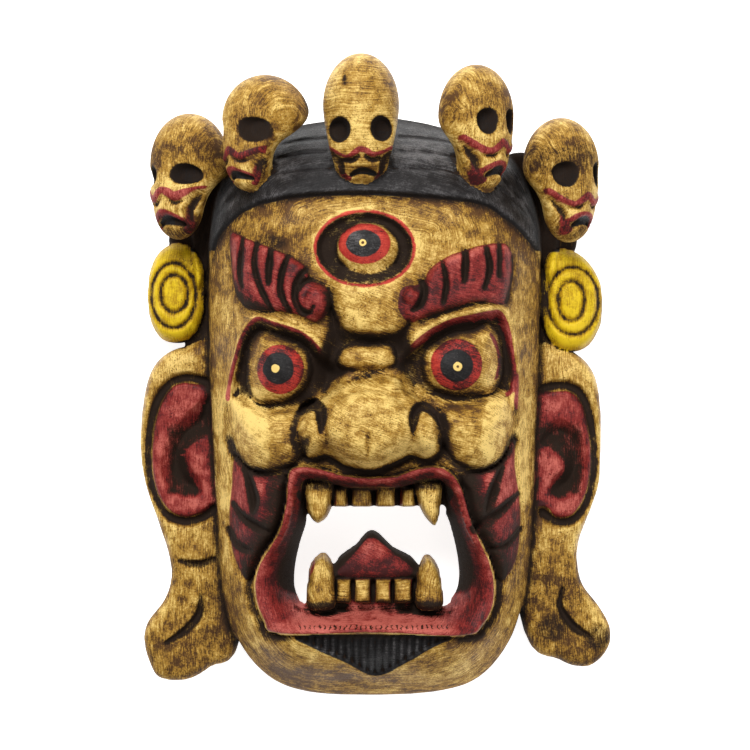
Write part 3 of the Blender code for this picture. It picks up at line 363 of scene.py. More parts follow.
SKULL_UPPER_GUM = [(-8.6, -29, 0.6), (-4, -26.6, 0.9), (2, -26, 0.9), (8.6, -28.6, 0.6)]


def smooth_line(points, closed, steps=5):
    """Points on a smooth curve through the given ones."""
    p = np.array(points, float)
    n = len(p)
    spans = n if closed else n - 1
    at = (lambda i: p[i % n]) if closed else (lambda i: p[min(max(i, 0), n - 1)])
    line = []
    for i in range(spans):
        a, b, c, d = at(i - 1), at(i), at(i + 1), at(i + 2)
        for t in np.arange(steps) / steps:
            line.append(0.5 * (2 * b + (c - a) * t + (2 * a - 5 * b + 4 * c - d) * t**2
                               + (3 * b - a - 3 * c + d) * t**3))
    if not closed:
        line.append(p[-1])
    return np.array(line)


def line_distance(line, closed, x, y):
    """Distance from each point to a line, and whether the point is inside it if it is closed."""
    ends = np.roll(line, -1, axis=0) if closed else line[1:]
    nearest = np.full(x.shape, FAR**2)
    inside = np.zeros(x.shape, bool)
    for (ax, ay), (bx, by) in zip(line, ends):
        dx, dy = bx - ax, by - ay
        t = np.clip(((x - ax) * dx + (y - ay) * dy) / (dx * dx + dy * dy + 1e-9), 0, 1)
        nearest = np.minimum(nearest, (x - ax - t * dx) ** 2 + (y - ay - t * dy) ** 2)
        if closed:
            crosses = (ay > y) != (by > y)
            inside ^= crosses & (x < ax + dx * (y - ay) / (dy if abs(dy) > 1e-9 else 1e-9))
    return np.sqrt(nearest), inside


def near(line, x, y, reach):
    """Slices of the board's grid that hold everything within reach of a line."""
    (x0, y0), (x1, y1) = line.min(0) - reach, line.max(0) + reach
    i = np.searchsorted(x[:, 0], (x0, x1))
    j = np.searchsorted(y[0], (y0, y1))
    return slice(*i), slice(*j)


def outline_distance(points, x, y, reach=25.0):
    """Signed distance to a smooth closed outline on the board, negative inside, FAR beyond reach."""
    line = smooth_line(points, closed=True)
    part = near(line, x, y, reach)
    distance, inside = line_distance(line, True, x[part], y[part])
    found = np.full(x.shape, FAR)
    found[part] = np.where(inside, -distance, distance)
    return found


def cut_distance(points, x, y, reach=12.0):
    """Distance to a smooth open line on the board, FAR beyond reach."""
    line = smooth_line(points, closed=False)
    part = near(line, x, y, reach)
    found = np.full(x.shape, FAR)
    found[part] = line_distance(line, False, x[part], y[part])[0]
    return found


def inside_stroke(points, x, y):
    """How far inside a stroke of a knife or brush each point is. Its points give its place and half width."""
    line = smooth_line(points, closed=False, steps=4)
    inside = np.full(x.shape, -FAR)
    for (ax, ay, a_width), (bx, by, b_width) in zip(line, line[1:]):
        dx, dy = bx - ax, by - ay
        t = np.clip(((x - ax) * dx + (y - ay) * dy) / (dx * dx + dy * dy + 1e-9), 0, 1)
        width = a_width + (b_width - a_width) * t
        inside = np.maximum(inside, width - np.hypot(x - ax - t * dx, y - ay - t * dy))
    return inside


def stroke(points, x, y, reach=16.0):
    """How far inside a stroke each point of the board's grid is, -FAR beyond reach."""
    part = near(np.array(points)[:, :2], x, y, reach)
    found = np.full(x.shape, -FAR)
    found[part] = inside_stroke(points, x[part], y[part])
    return found


def strokes(shapes, x, y):
    """How far inside the nearest of several strokes each point of the board's grid is."""
    return np.maximum.reduce([stroke(points, x, y) for points in shapes])


def ellipse_distance(oval, x, y):
    """Signed distance to an ellipse given as its centre and half axes, negative inside."""
    (cx, cy), (rx, ry) = oval
    near_one = np.hypot((x - cx) / rx, (y - cy) / ry) + 1e-6
    slope = np.hypot((x - cx) / rx**2, (y - cy) / ry**2) + 1e-6 / min(rx, ry)
    return near_one * (near_one - 1) / slope


def block_distance(block, x, y):
    """Signed distance to an upright rectangle given as its centre and half sizes, negative inside."""
    (cx, cy), (rx, ry) = block
    qx, qy = np.abs(x - cx) - rx, np.abs(y - cy) - ry
    return np.hypot(np.maximum(qx, 0), np.maximum(qy, 0)) + np.minimum(np.maximum(qx, qy), 0)


def ramp(t):
    """0 below 0 and 1 above 1, smooth in between."""
    t = np.clip(t, 0, 1)
    return t * t * (3 - 2 * t)


def above(value, start, run):
    """0 up to a start and 1 from a run over it."""
    return ramp((value - start) / run)


def below(value, start, run):
    """0 down to a start and 1 from a run under it."""
    return ramp((start - value) / run)


def fade(distance, full, none):
    """1 up to one distance and 0 from another on, smooth in between."""
    return ramp((none - distance) / (none - full))


def swell(t):
    """0 below 0 and 1 above 1, rising like a quarter of a circle."""
    t = np.clip(t, 0, 1)
    return np.sqrt(1 - (1 - t) ** 2)


def bowed(inside, bow):
    """0 at an outline and 1 well inside it, steep at first."""
    width, power = bow
    return 1 - (1 - np.clip(inside / width, 0, 1)) ** power


def cut(inside, profile):
    """Depth of a sloping cut, or height of a ridge, from how far inside its outline a place is."""
    depth, reach, slope = profile
    return depth * ramp((inside + reach) / slope)


def dome(distance, profile):
    """Height of a dome inside an outline."""
    height, run = profile
    return height * swell(-distance / run)


def soft_max(a, b, k):
    """The larger of two, blended where they are within k of each other."""
    h = np.clip(0.5 + 0.5 * (a - b) / k, 0, 1)
    return b + (a - b) * h + k * h * (1 - h)


def soft_min(a, b, k):
    """The smaller of two, blended where they are within k of each other."""
    return -soft_max(-a, -b, k)


def blurred(values, steps):
    """Values averaged over that many grid steps each way along every axis, twice over."""
    for axis in range(values.ndim):
        for _ in range(2):
            pads = [(0, 0)] * values.ndim
            pads[axis] = (steps + 1, steps)
            sums = np.cumsum(np.pad(values, pads, mode="edge"), axis=axis, dtype=np.float64)
            ahead = np.take(sums, np.arange(2 * steps + 1, sums.shape[axis]), axis)
            behind = np.take(sums, np.arange(sums.shape[axis] - 2 * steps - 1), axis)
            values = ((ahead - behind) / (2 * steps + 1)).astype(np.float32)
    return values


def gouge_waves(x, y):
    """The slow unevenness that a gouge leaves, about -1 to 1."""
    waves = 0
    for turn, length in ((0.3, 17), (1.1, 12), (1.9, 21), (2.6, 14), (0.8, 9), (2.2, 10)):
        waves = waves + np.sin((x * math.cos(turn) + y * math.sin(turn)) * math.tau / length + 7 * turn)
    return waves / 4


def pad_on(height, base, distance, pad):
    """Raises a rounded pad over the base surface, from sunk below it at the outline to raised above it."""
    sunk, raised, edge = pad
    rounded = base - sunk + (sunk + raised) * swell(-distance / edge)
    return np.where(distance < 0, np.maximum(height, rounded), height)


def carve_ears(x, y, top):
    """Ears and earrings: flat boards with worn rims, cut with hollows and rings."""
    rim = drawn(EAR_THICKNESS)
    for points in (LEFT_EAR, RIGHT_EAR):
        top = pad_on(top, rim, outline_distance(points, x, y), EAR_PAD)
    for points in EARRINGS:
        top = pad_on(top, rim, outline_distance(points, x, y), EARRING_PAD)
    for points in EAR_CUTS:
        top = top - cut(-cut_distance(points, x, y), EAR_CUT)
    depth, reach, slope = EAR_HOLLOW
    for points in EAR_HOLLOWS:
        top = top - depth * np.clip((reach - outline_distance(points, x, y)) / slope, 0, 1)
    top = top - cut(strokes(LOBE_CUTS, x, y), LOBE_CUT)
    for oval in EARRING_RINGS:
        top = top - cut(-np.abs(ellipse_distance(oval, x, y)), EARRING_CUT)
    return top


def carve_headband(x, y, top):
    """Headband: a wrap that stands proud of the forehead, with the cuts between its turns."""
    band = outline_distance(HEADBAND, x, y, reach=60)
    return top + cut(-band, HEADBAND_STEP) - cut(strokes(HEADBAND_CUTS, x, y), HEADBAND_CUT) * (band < 0)


def carve_eyes(x, y, top, base):
    """Third eye in its ring, and two bulging eyes in hollows under ridged lids."""
    top = top - cut(-ellipse_distance(THIRD_EYE, x, y), THIRD_EYE_CUT)
    top = pad_on(top, base, ellipse_distance(THIRD_EYEBALL, x, y), THIRD_EYEBALL_PAD)
    for points in (LEFT_HOLLOW, RIGHT_HOLLOW):
        top = top - cut(-outline_distance(points, x, y), EYE_HOLLOW)
    for points in (LEFT_LID, RIGHT_LID):
        top = top + cut(-cut_distance(points, x, y), LID_RIDGE)
    for points in (LEFT_EYE, RIGHT_EYE):
        top = pad_on(top, base, outline_distance(points, x, y), EYEBALL_PAD)
    return top


def carve_nose(x, y, top, base):
    """Boss and bump over the bridge, sunk valley round them, and the broad nose with curled wings."""
    top = top - cut(-outline_distance(VALLEY, x, y), VALLEY_CUT)
    boss = outline_distance(BOSS, x, y)
    top = pad_on(top, base, boss, BOSS_PAD)
    top = top + dome(boss, BOSS_DOME) * below(y, 60, 18)
    top = pad_on(top, base, outline_distance(BRIDGE, x, y), BRIDGE_PAD)
    nose = outline_distance(NOSE, x, y)
    top = top - cut(-nose, NOSE_UNDERCUT) * below(y, -6, 8)
    top = pad_on(top, base, nose, NOSE_PAD)
    top = top + dome(ellipse_distance(NOSE_TIP, x, y), NOSE_DOME)
    for oval in NOSE_WINGS:
        top = top + dome(ellipse_distance(oval, x, y), WING_DOME)
    top = top - cut(strokes(NOSTRILS, x, y), NOSTRIL_CUT)
    return top - cut(stroke(NOSE_DENT, x, y), NOSE_DENT_CUT)


def carve_cheeks_and_brows(x, y, top, base):
    """Cheek pads, toothed brows that end in curls, and flames down the jaw."""
    for points in (LEFT_CHEEK, RIGHT_CHEEK):
        cheek = outline_distance(points, x, y)
        top = top - cut(-cheek, CHEEK_UNDERCUT) * below(y, -30, 8)
        top = pad_on(top, base, cheek, CHEEK_PAD)
    brows = [outline_distance(points, x, y) for points in (LEFT_BROW, RIGHT_BROW)]
    for brow in brows:
        top = pad_on(top, base, brow, BROW_PAD)
    for oval in BROW_CURLS:
        top = pad_on(top, base, ellipse_distance(oval, x, y), CURL_PAD)
    top = top - cut(strokes(BROW_CUTS, x, y), BROW_CUT) * below(np.minimum(*brows), 1, 2)
    for points in FLAMES:
        flame = outline_distance(points, x, y)
        top = top - cut(-np.abs(flame), FLAME_RIM)
        top = pad_on(top, base, flame, FLAME_PAD)
    return top - cut(strokes(FLAME_CUTS, x, y), FLAME_CUT)


def mouth_slope(x, y):
    """How far down the funnel of the lips each point is, from 0 at their edge to 1 at the opening."""
    inside = np.maximum(-outline_distance(LIP_OUTER, x, y, reach=60), 0)
    return inside / (inside + np.maximum(outline_distance(MOUTH_OPENING, x, y, reach=60), 0) + 0.01)


def tuft_grooves(x):
    """The tuft's upright lines, from 1 in a groove to -1 on a ridge."""
    return np.cos(x * math.tau / TUFT_LINE)


def carve_mouth(x, y, top, base):
    """Open mouth: lips like a funnel, teeth, fangs and tongue. Returns the heights and the opening."""
    outer, inner = outline_distance(LIP_OUTER, x, y), outline_distance(LIP_INNER, x, y, reach=60)
    moat = 3 + 3 * below(y, -56, 6) * above(y, -142, 10)
    top = top - moat * ramp((moat - outer) / moat) * above(outer, -4, 4)
    slope = mouth_slope(x, y)
    lips = base - 1 + dome(outer, LIP_DOME)
    lips = lips + (MOUTH_FLOOR - lips) * slope**LIP_CURVE
    ledge = ramp(-inner / 3.5) * above(y, -82, 8)
    lips = lips * (1 - ledge) + np.minimum(lips, LEDGE_HEIGHT) * ledge
    top = np.where(outer < 0, np.maximum(np.where(outer < -4, 0, top), lips), top)
    opening = outline_distance(MOUTH_OPENING, x, y)
    for gum, height in ((UPPER_GUM, UPPER_GUM_HEIGHT), (LOWER_GUM, LOWER_GUM_HEIGHT)):
        distance = outline_distance(gum, x, y)
        top = np.where(distance < 0, np.maximum(top, height * below(distance, 3, 3)), top)
        opening = np.maximum(opening, -distance)
    for block in UPPER_TEETH + LOWER_TEETH:
        top = pad_on(top, TOOTH_FOOT, block_distance(block, x, y), TOOTH_PAD)
    raised = [(points, FANG_FOOT, FANG_PAD) for points in FANGS] + [(TONGUE, TONGUE_FOOT, TONGUE_PAD)]
    for points, foot, pad in raised:
        distance = outline_distance(points, x, y)
        top = pad_on(top, foot, distance, pad)
        opening = np.maximum(opening, -distance)
    tuft = ramp(-outline_distance(GOATEE, x, y) / 2.5)
    return top - tuft * (TUFT_BED + TUFT_GROOVE * tuft_grooves(x)), opening


def carve_board(x, y):
    """Heights of the front and the back over the board, and signed distances of its outline and opening."""
    head = outline_distance(HEAD, x, y, reach=200)
    front, jaw = drawn(FACE_DEPTH), drawn(JAW_DEPTH)
    base = jaw + (front - jaw) * bowed(-head, FACE_BOW) - FOREHEAD_SLOPE * np.maximum(y - FOREHEAD_LINE, 0)
    outline = head
    for points in (LEFT_EAR, RIGHT_EAR, *EARRINGS, *STRIPS):
        outline = np.minimum(outline, outline_distance(points, x, y))
    top = carve_ears(x, y, np.full(x.shape, drawn(STRIP_THICKNESS)))
    steep = below(head, 1.5, 3)
    top = np.maximum(top * (1 - steep) + base * steep, top * (head > 0))
    top = carve_headband(x, y, top)
    top = carve_eyes(x, y, top, base)
    top = carve_nose(x, y, top, base)
    top = carve_cheeks_and_brows(x, y, top, base)
    top, opening = carve_mouth(x, y, top, base)
    top = top + GOUGE_UNEVENNESS * gouge_waves(x, y)
    hollow = head + drawn(RIM_WIDTH)
    ceiling = drawn(HOLLOW_DEPTH) * bowed(-hollow, HOLLOW_BOW)
    ceiling = np.minimum(ceiling, blurred(top, THINNING_REACH) - drawn(HOLLOW_WALL))
    back = np.where(hollow < 0, np.maximum(ceiling, 0), 0)
    return top, back, outline, opening


def skull_place(skull, x, y, z):
    """Where points are in a skull's own axes: to its left, up and out of its face."""
    (cx, cy, cz), size = skull.centre, skull.size
    c, s = math.cos(math.radians(skull.turn)), math.sin(math.radians(skull.turn))
    return ((x - cx) * c - (z - cz) * s) / size, (y - cy) / size, ((x - cx) * s + (z - cz) * c) / size


def skull_face(skull, v):
    """Heights on a skull's face as heights on the middle skull, whose features are drawn."""
    lifted = [height + lift for height, lift in zip(SKULL_FEATURES, skull.lifts)]
    low, high = SKULL_ENDS
    return np.interp(v, (low, *lifted[::-1], high), (low, *SKULL_FEATURES[::-1], high))


def skull_sockets(skull, x, y):
    """How far inside a skull's eye sockets each point of its face is."""
    return np.maximum(*(-ellipse_distance(((cx * skull.spread, cy), skull.socket), x, y)
                        for cx, cy in SKULL_EYES))


def skull_folds(skull, x, y):
    """How far inside a skull's cheek folds each point of its face is. A turned one has finer folds."""
    folds = np.maximum.reduce([inside_stroke(points, x, y) for points in SKULL_FOLDS + SKULL_LIP_SHADOWS])
    return folds - 0.6 * (skull.turn != 0)


def skull_cuts(skull, x, y):
    """Depth of the carving over a skull's face, seen from in front of it."""
    y = skull_face(skull, y)
    depth = np.maximum(cut(skull_sockets(skull, x, y), SOCKET_CUT), cut(skull_folds(skull, x, y), FOLD_CUT))
    depth = np.maximum(depth, cut(inside_stroke(SKULL_MOUTH, x, y), SKULL_MOUTH_CUT))
    return depth - cut(inside_stroke(SKULL_LIP, x, y), SKULL_LIP_RIDGE)


def ellipsoid_distance(centre, radii, x, y, z):
    """Signed distance to an ellipsoid, negative inside."""
    p = [(v - c, r) for v, c, r in zip((x, y, z), centre, radii)]
    near_one = np.sqrt(sum((v / r) ** 2 for v, r in p))
    slope = np.sqrt(sum((v / r**2) ** 2 for v, r in p)) + 1e-6
    return near_one * (near_one - 1) / slope


def skull_distance(skull, x, y, z):
    """Signed distance to one skull of the crown."""
    jaw_width, jaw_forward = skull.jaw
    u, v, w = skull_place(skull, x, y, z)
    middle = (0, CRANIUM_HEIGHT, CRANIUM_FRONT - skull.length)
    cranium = ellipsoid_distance(middle, (*CRANIUM_HALF, skull.length), u, v, w)
    underside = 0.88 * (-11 - 0.56 * w - v)  # a plane that rises towards the back
    cranium = soft_max(cranium, underside, UNDERSIDE_ROUNDING)
    jaw = ellipsoid_distance((0, SKULL_JAW_HEIGHT, jaw_forward), (jaw_width, *SKULL_JAW_HALF), u, v, w)
    head = soft_min(cranium, jaw, JAW_BLEND)
    return (head + skull_cuts(skull, u, v) * above(w, 2, 8)) * skull.size


def carve_block(step):
    """The carving as signed distances on a grid of voxels, and the grid's axes, in drawn millimetres."""
    xs, ys, zs = (step * np.arange(math.floor(low / step), math.ceil(high / step))
                  for low, high in GRID_LIMITS)
    x, y = np.meshgrid(xs, ys, indexing="ij")
    top, back, outline, opening = (m.astype(np.float32) for m in carve_board(x, y))
    slope = 1 / np.sqrt(1 + sum((g / step) ** 2 for g in np.gradient(blurred(top, 1))))
    over = (zs.astype(np.float32) - top[..., None]) * slope[..., None].astype(np.float32)
    block = soft_max(over, outline[..., None] + 0 * over, drawn(EDGE_ROUNDING))
    block = soft_max(block, back[..., None] - zs.astype(np.float32), RIM_ROUNDING)
    block = soft_max(block, -opening[..., None] + 0 * over, RIM_ROUNDING)
    for skull in SKULLS:
        reach = SKULL_REACH * skull.size
        part = tuple(slice(*np.searchsorted(axis, (c - reach, c + reach)))
                     for axis, c in zip((xs, ys, zs), skull.centre))
        grid = np.meshgrid(xs[part[0]], ys[part[1]], zs[part[2]], indexing="ij")
        block[part] = soft_min(block[part], skull_distance(skull, *grid), SKULL_SEAT)
    return block, (xs, ys, zs)


def both(*values):
    """The least of several values: where all of them hold."""
    return reduce(np.minimum, values)


def any_of(*values):
    """The greatest of several values: where any of them holds."""
    return reduce(np.maximum, values)


def smudges(shapes, x, y):
    """The strongest of several soft smudges at each place."""
    return any_of(*(strength * fade(np.hypot((x - cx) * across, (y - cy) * up), full, none)
                    for (cx, cy), (across, up), strength, (full, none) in shapes))


def face_wash_and_shade(x, y, shapes):
    """How dark each place of the face is painted: the dark wash in its cuts and hollows, with painted shade
    in the eye hollows, under the nose, cheeks, brows, upper lip and headband, down the lips' funnel,
    at the face's edge and towards the chin.
    """
    head, lip, nose, brows, cheeks, flames, eyes, band, pads = shapes
    left_hollow = -outline_distance(LEFT_HOLLOW, x, y) + 1.6 * above(y, 0, 10)
    right_hollow = -outline_distance(RIGHT_HOLLOW, x, y) - 3.2 * above(y, 5, 20) * below(x, 80, 12)
    hollows = any_of(left_hollow, right_hollow) - 3 * below(y, 0, 8)
    valley = -outline_distance(VALLEY, x, y) - 3 * below(y, 2, 8)
    ring, ball = ellipse_distance(THIRD_EYE, x, y), -ellipse_distance(THIRD_EYEBALL, x, y)
    slope = mouth_slope(x, y)
    upper, lower = above(y, -66, 8), below(y, -112, 12)
    brow_foot_shade = 0.97 * ramp((58 - y - 0.6 * (x + 72)) / 17) * (x < 0)
    # Darker down the funnel of the lips and under the upper lip's edge: wash with painted shade
    on_lips = any_of(
        ramp((slope - 0.22 + 0.1 * upper - 0.62 * lower) / 0.46) * (lip > 0.8),
        0.80 * upper * above(lip, 2, 2.5),
        0.72 * fade(lip, 0.4, 2.2) * (1 - lower),
        0.70 * above(lip, 1, 5) * (1 - lower) * (1 - upper),
    ) * (lip > 0)
    on_flames = any_of(
        fade(-lip, 4, 25),
        0.5 * fade(flames, 0, 2.5) * (np.abs(x) < 74),
        0.50 + 0.12 * (x > 0),
    ) * (flames > 0)
    return any_of(
        # Eyes and nose
        # Eye hollows: dark wash with painted shade under the lids
        0.97 * both(fade(-hollows, -2.5, 4.5), fade(eyes, 0.5, 8)) * fade(hollows, 30, 60),
        both(fade(-valley, -2, 7), fade(pads, 0.5, 7)),
        both(fade(ring, -0.6, 1.2), fade(ball, 0, 5)),
        # Painted shadow under the nose
        both(fade(-nose, 1.5, 7), fade(nose, 0.3, 3.4)) * below(y, -14, 8),
        fade(-strokes(NOSTRILS, x, y), 0.1, 2.2),
        0.85 * fade(-stroke(NOSE_DENT, x, y), 0, 2),
        smudges(FACE_SMUDGES_AND_SHADE, x, y),
        # Cheeks, lips and flames
        # Painted shade under the cheek pads
        0.97 * both(fade(-cheeks, 1, 8), fade(cheeks, 0.3, 9)) * below(y, -20, 16),
        0.8 * both(fade(-cheeks, 0, 6), fade(cheeks, 0, 5)),
        0.6 * above(cheeks, 0, 2) * fade(y, -44, -26),
        both(fade(-lip, 2, 11), fade(lip, -0.9 + 0.8 * upper, 0.3 + 1.3 * upper))
        * (0.82 + 0.18 * (np.abs(x) > 44)),
        on_lips,
        on_flames,
        fade(-strokes(FLAME_CUTS, x, y), 0.8, 3.8),
        # Brows and forehead
        fade(-strokes(BROW_CUTS, x, y), 0.2, 2.2) * above(brows, -1, 1.5),
        # Painted shade along the lower side of the brows
        any_of(brow_foot_shade, 0.5 * below(y, 50, 16)) * (brows > 0),
        both(fade(-brows, 0, 6), fade(brows, 0, 1.2)) * (0.7 + 0.15 * (x < 0)),
        smudges(FOREHEAD_SMUDGES, x, y) * (brows < 0),
        # Painted shadow on the forehead under the headband's edge
        any_of(0.9 * fade(-band, 0, 7.5), 0.7 * fade(-band, 4, 15) * (np.abs(x) > 46)) * (band < 0),
        0.85 * fade(band, 0, 5) * (band > 0),
        # Edge of the face and all the rest
        # Painted shade where the face turns away at its edge, and darker towards the chin
        0.85 * fade(head, 0, 9),
        0.70 * fade(head, 3, 26) * below(y, -96, 60),
        0.33,
    )


def rub_and_highlight_places(x, y, shapes):
    """How much lighter each place is: rubbed proud edges, lids, tuft ridges and the pink of the ears, with
    painted highlights on the nose, the lips, the brows' top edges and the headband's cuts, and painted sheen
    on the headband.
    """
    head, lip, nose, brows, band = shapes
    upper, lower = above(y, -66, 8), below(y, -120, 4)
    tuft = -outline_distance(GOATEE, x, y)
    lids = any_of(2 - cut_distance(LEFT_LID, x, y), 2 - cut_distance(RIGHT_LID, x, y))
    tragi = any_of(*(-outline_distance(points, x, y) for points in EAR_TRAGI))
    panels = any_of(*(-outline_distance(points, x, y) for points in EAR_PANELS))
    return any_of(
        1.2 * fade(np.abs(nose - 3.6), 0.4, 3.0) * below(y, -38, 4),
        # Painted highlight along the top of the upper lip's red
        0.5 * fade(np.abs(lip - 2.0), 0.2, 1.6) * upper,
        # Painted highlight on the ledge of the lower lip
        2.1 * both(above(lip, 1, 3), fade(lip, 12, 17), fade(np.abs(x), 32, 52)) * lower,
        # Painted highlight along the top edges of the brows
        0.5 * fade(np.abs(brows - 1.8), 0.2, 2.2) * (brows > 0) * above(y, 47, 12),
        1.0 * (ellipse_distance(THIRD_EYE, x, y) < 3),
        # Lighter edges of the headband's cuts: rubbed paint with painted highlight
        1.3 * fade(np.abs(strokes(HEADBAND_CUTS, x, y) + 2.2), 0.2, 1.5) * (y > 90),
        fade(lids, -1, 1.5) * (lids > 0),
        # Painted highlight on the nose
        smudges(NOSE_PAINTED_HIGHLIGHT, x, y),
        1.5 * above(tragi, 0, 3),
        1.25 * above(panels, 0, 2) * (tragi < 0),
        # The headband lighter, more so to the right: dust with painted sheen
        (0.46 + 0.66 * above(x, -25, 60)) * (band > 0),
        # Lighter ridges of the tuft: rubbed black with painted highlight
        1.2 * ramp((-tuft_grooves(x) - 0.1) / 0.7) * (tuft > 1),
    ) * np.where(head > 0, 1, above(any_of(tragi, panels), -0.5, 2))


def side_wash_and_shade(x, y, shapes):
    """How dark each place on the ears, earrings and strips is painted: the dark wash in their cuts, bowls
    and rings, darker towards the lobes, and painted shade where they meet the face and on the low strips.
    """
    head, ears, earrings = shapes
    tragi = any_of(*(-outline_distance(points, x, y, reach=30) for points in EAR_TRAGI))
    round_tragi = below(tragi, 1, 1.5)
    cuts = np.minimum.reduce([cut_distance(points, x, y) for points in EAR_CUTS])
    bowls = any_of(*(-outline_distance(points, x, y) for points in EAR_HOLLOWS))
    rings = np.minimum.reduce([np.abs(ellipse_distance(oval, x, y)) for oval in EARRING_RINGS])
    lobes = below(y, -84, 20)
    return any_of(
        # Ears
        fade(cuts, 1.6, 3.9),
        both(fade(-bowls, -2, 2), fade(-tragi, 8, 16), round_tragi),
        0.8 * both(fade(-bowls, -2, 8), fade(-tragi, 8, 26)) * (tragi < 0),
        0.95 * both(below(y, -10, 23), above(y, -72, 8), fade(np.abs(x), 112, 123), round_tragi),
        fade(-strokes(LOBE_CUTS, x, y), 0.1, 2.4),
        0.75 * lobes,
        0.55 * fade(any_of(ears, earrings), 0, 3.5) * lobes,
        smudges(SIDE_SMUDGES, x, y),
        0.3 * (ears > 0),
        # Earrings
        0.95 * fade(rings, 0.7, 2.3),
        any_of(0.6 * fade(earrings, 0, 4), smudges(EARRING_SMUDGES, x, y)) * (earrings > 0),
        # Strips and the foot of the face
        # Painted shade where the strips meet the face, and on the low strips between ears and face
        0.95 * fade(-head, 1, 9),
        1.0 * (any_of(ears, earrings) < 0),
    )


def paint_plan(x, y):
    """Signed distances to each paint on the board, positive inside it, its dark wash with painted shade,
    its wear with painted highlights, and its brush lines.
    """
    def inside(*outlines, reach=25):
        return any_of(*(-outline_distance(points, x, y, reach) for points in outlines))

    def along(points, width):
        return width - cut_distance(points, x, y)

    def ovals(shapes):
        return any_of(*(-ellipse_distance(shape, x, y) for shape in shapes))

    head = inside(HEAD, reach=200)
    ears, earrings = inside(LEFT_EAR, RIGHT_EAR), inside(*EARRINGS)
    eyes, band = inside(LEFT_EYE, RIGHT_EYE), inside(HEADBAND, reach=60)
    brows = any_of(inside(LEFT_BROW, RIGHT_BROW), ovals(BROW_CURLS))
    nose, lip, mouth = inside(NOSE), inside(LIP_OUTER), inside(LIP_INNER, reach=60)
    cheeks, flames = inside(LEFT_CHEEK, RIGHT_CHEEK), inside(*FLAMES)
    pads = any_of(inside(BOSS, BRIDGE), nose, brows, cheeks)
    teeth = any_of(*(-block_distance(block, x, y) for block in UPPER_TEETH + LOWER_TEETH), inside(*FANGS))
    tongue, lid, third = inside(TONGUE_TOP), inside(RIGHT_HOLLOW), ellipse_distance(THIRD_EYE, x, y)
    black = any_of(
        both(band, y - 68),
        ovals(PUPILS),
        both(mouth - 3, -0.5 - teeth, -tongue, 8 * (mouth_slope(x, y) - 0.85)),
        both(any_of(inside(UPPER_GUM), both(inside(LOWER_GUM), y + 123)), -0.5 - teeth, -tongue),
        inside(GOATEE),
    )
    red = any_of(
        brows,
        along(LEFT_LID, 1.2),
        both(along(RIGHT_LID, 1.3), 2 - y),
        both(along(RIGHT_LID, 6.5), lid + 1.5, 1.2 + 2.8 * above(y, 5, 20) - lid),
        along(EYE_LINE, 1.1),
        both(lip - 0.5 - 0.7 * fade(np.abs(y + 112), 14, 34), -teeth),
        tongue,
        both(inside(*EAR_PANELS) + 1.8, -head),
        flames,
        *(along(points, 0.75) for points in TOOTH_LINES),
    )
    on_face = face_wash_and_shade(x, y, (head, lip, nose, brows, cheeks, flames, eyes, band, pads))
    sides = side_wash_and_shade(x, y, (head, ears, earrings))
    # Painted shadow on the teeth: their tops under the upper lip, and the foot of the lower ones
    teeth_shadow = any_of(0.95 * above(y, -66, 5), 0.95 * below(y, -116.5, 6) * (tongue < 0), 0.38)
    on_tongue = any_of(0.66 * ramp((-93 - y + 0.5 * np.abs(x + 4)) / 12), 0.24)
    # Dark wash together with painted shade, on the teeth, the tongue, the face and the sides
    wash_and_shade = np.where(teeth > 0, teeth_shadow, np.where(tongue > 0, on_tongue, np.where(head > 0, on_face, sides)))
    return {"red": red, "black": black, "yellow": earrings, "wash_and_shade": wash_and_shade,
            "vermilion": any_of(ovals(IRISES), both(1.0 - np.abs(third - 0.4), head)),
            "across": np.where(head > 0, head, np.abs(x)),
            "turned": above(head, 13, 12) * fade(np.abs(y + 20), 70, 100) * (head > 0) * (teeth < 0),
            "rub_and_highlight": rub_and_highlight_places(x, y, (head, lip, nose, brows, band))}


def paint_skull(skull, x, y, z):
    """Signed distances to red and black on one skull, its dark wash with painted shade, and its brush lines."""
    u, v, w = skull_place(skull, x, y, z)
    low = skull_face(skull, v)

    def inside(*lines):
        return any_of(*(inside_stroke(points, u, low) for points in lines))

    sockets, folds, mouth = skull_sockets(skull, u, low), skull_folds(skull, u, low), inside(SKULL_MOUTH)
    turn = skull.turn
    lip, corners, front = inside(SKULL_LIP) + 0.4 * (turn != 0), inside(*SKULL_CORNERS), w - 3
    gum = inside(SKULL_UPPER_GUM) + 0.6 if turn else np.full(x.shape, -FAR)
    red = both(any_of(lip, corners, gum), front)
    black = both(any_of(sockets + 0.4, mouth), front)
    outer = abs(turn) in OUTER_TURNS
    weathered = (0.76 if outer else 0.6 if turn else 0.42) + 0.07 * (turn > 0)
    wash_and_shade = any_of(
        # Painted shade on the back and the underside of the cranium
        0.92 * fade(w, -38, 6),
        0.95 * below(w, -6, 14) * below(v, 8, 14),
        0.9 * fade(-sockets, 0, 3.0) * (w > 0),
        0.97 * fade(-folds, *((-0.2, 1.0) if turn else (0.2, 2.0))) * (lip < 0) * (w > 0),
        0.7 * fade(-corners, 0, 2) * (w > 0),
        0.5 * fade(-lip, 0, 3) * (w > 0),
        weathered * fade(np.abs(v - 12), 3, 30),
        smudges(MIDDLE_SKULL_SMUDGES, u, v) * (turn == 0),
        # Painted shade under the jaws of turned skulls and over the lower part of each skull
        0.75 * fade(v, -36, -26) * (turn != 0),
        (0.80 if outer else 0.62) * below(v, -16, 12),
        0.3,
    )
    blank = np.full(x.shape, -FAR)
    return {"red": red, "black": black, "yellow": blank, "vermilion": blank, "wash_and_shade": wash_and_shade,
            "across": u if turn else v, "turned": np.zeros(x.shape), "rub_and_highlight": np.zeros(x.shape),
            "skull": np.ones(x.shape)}


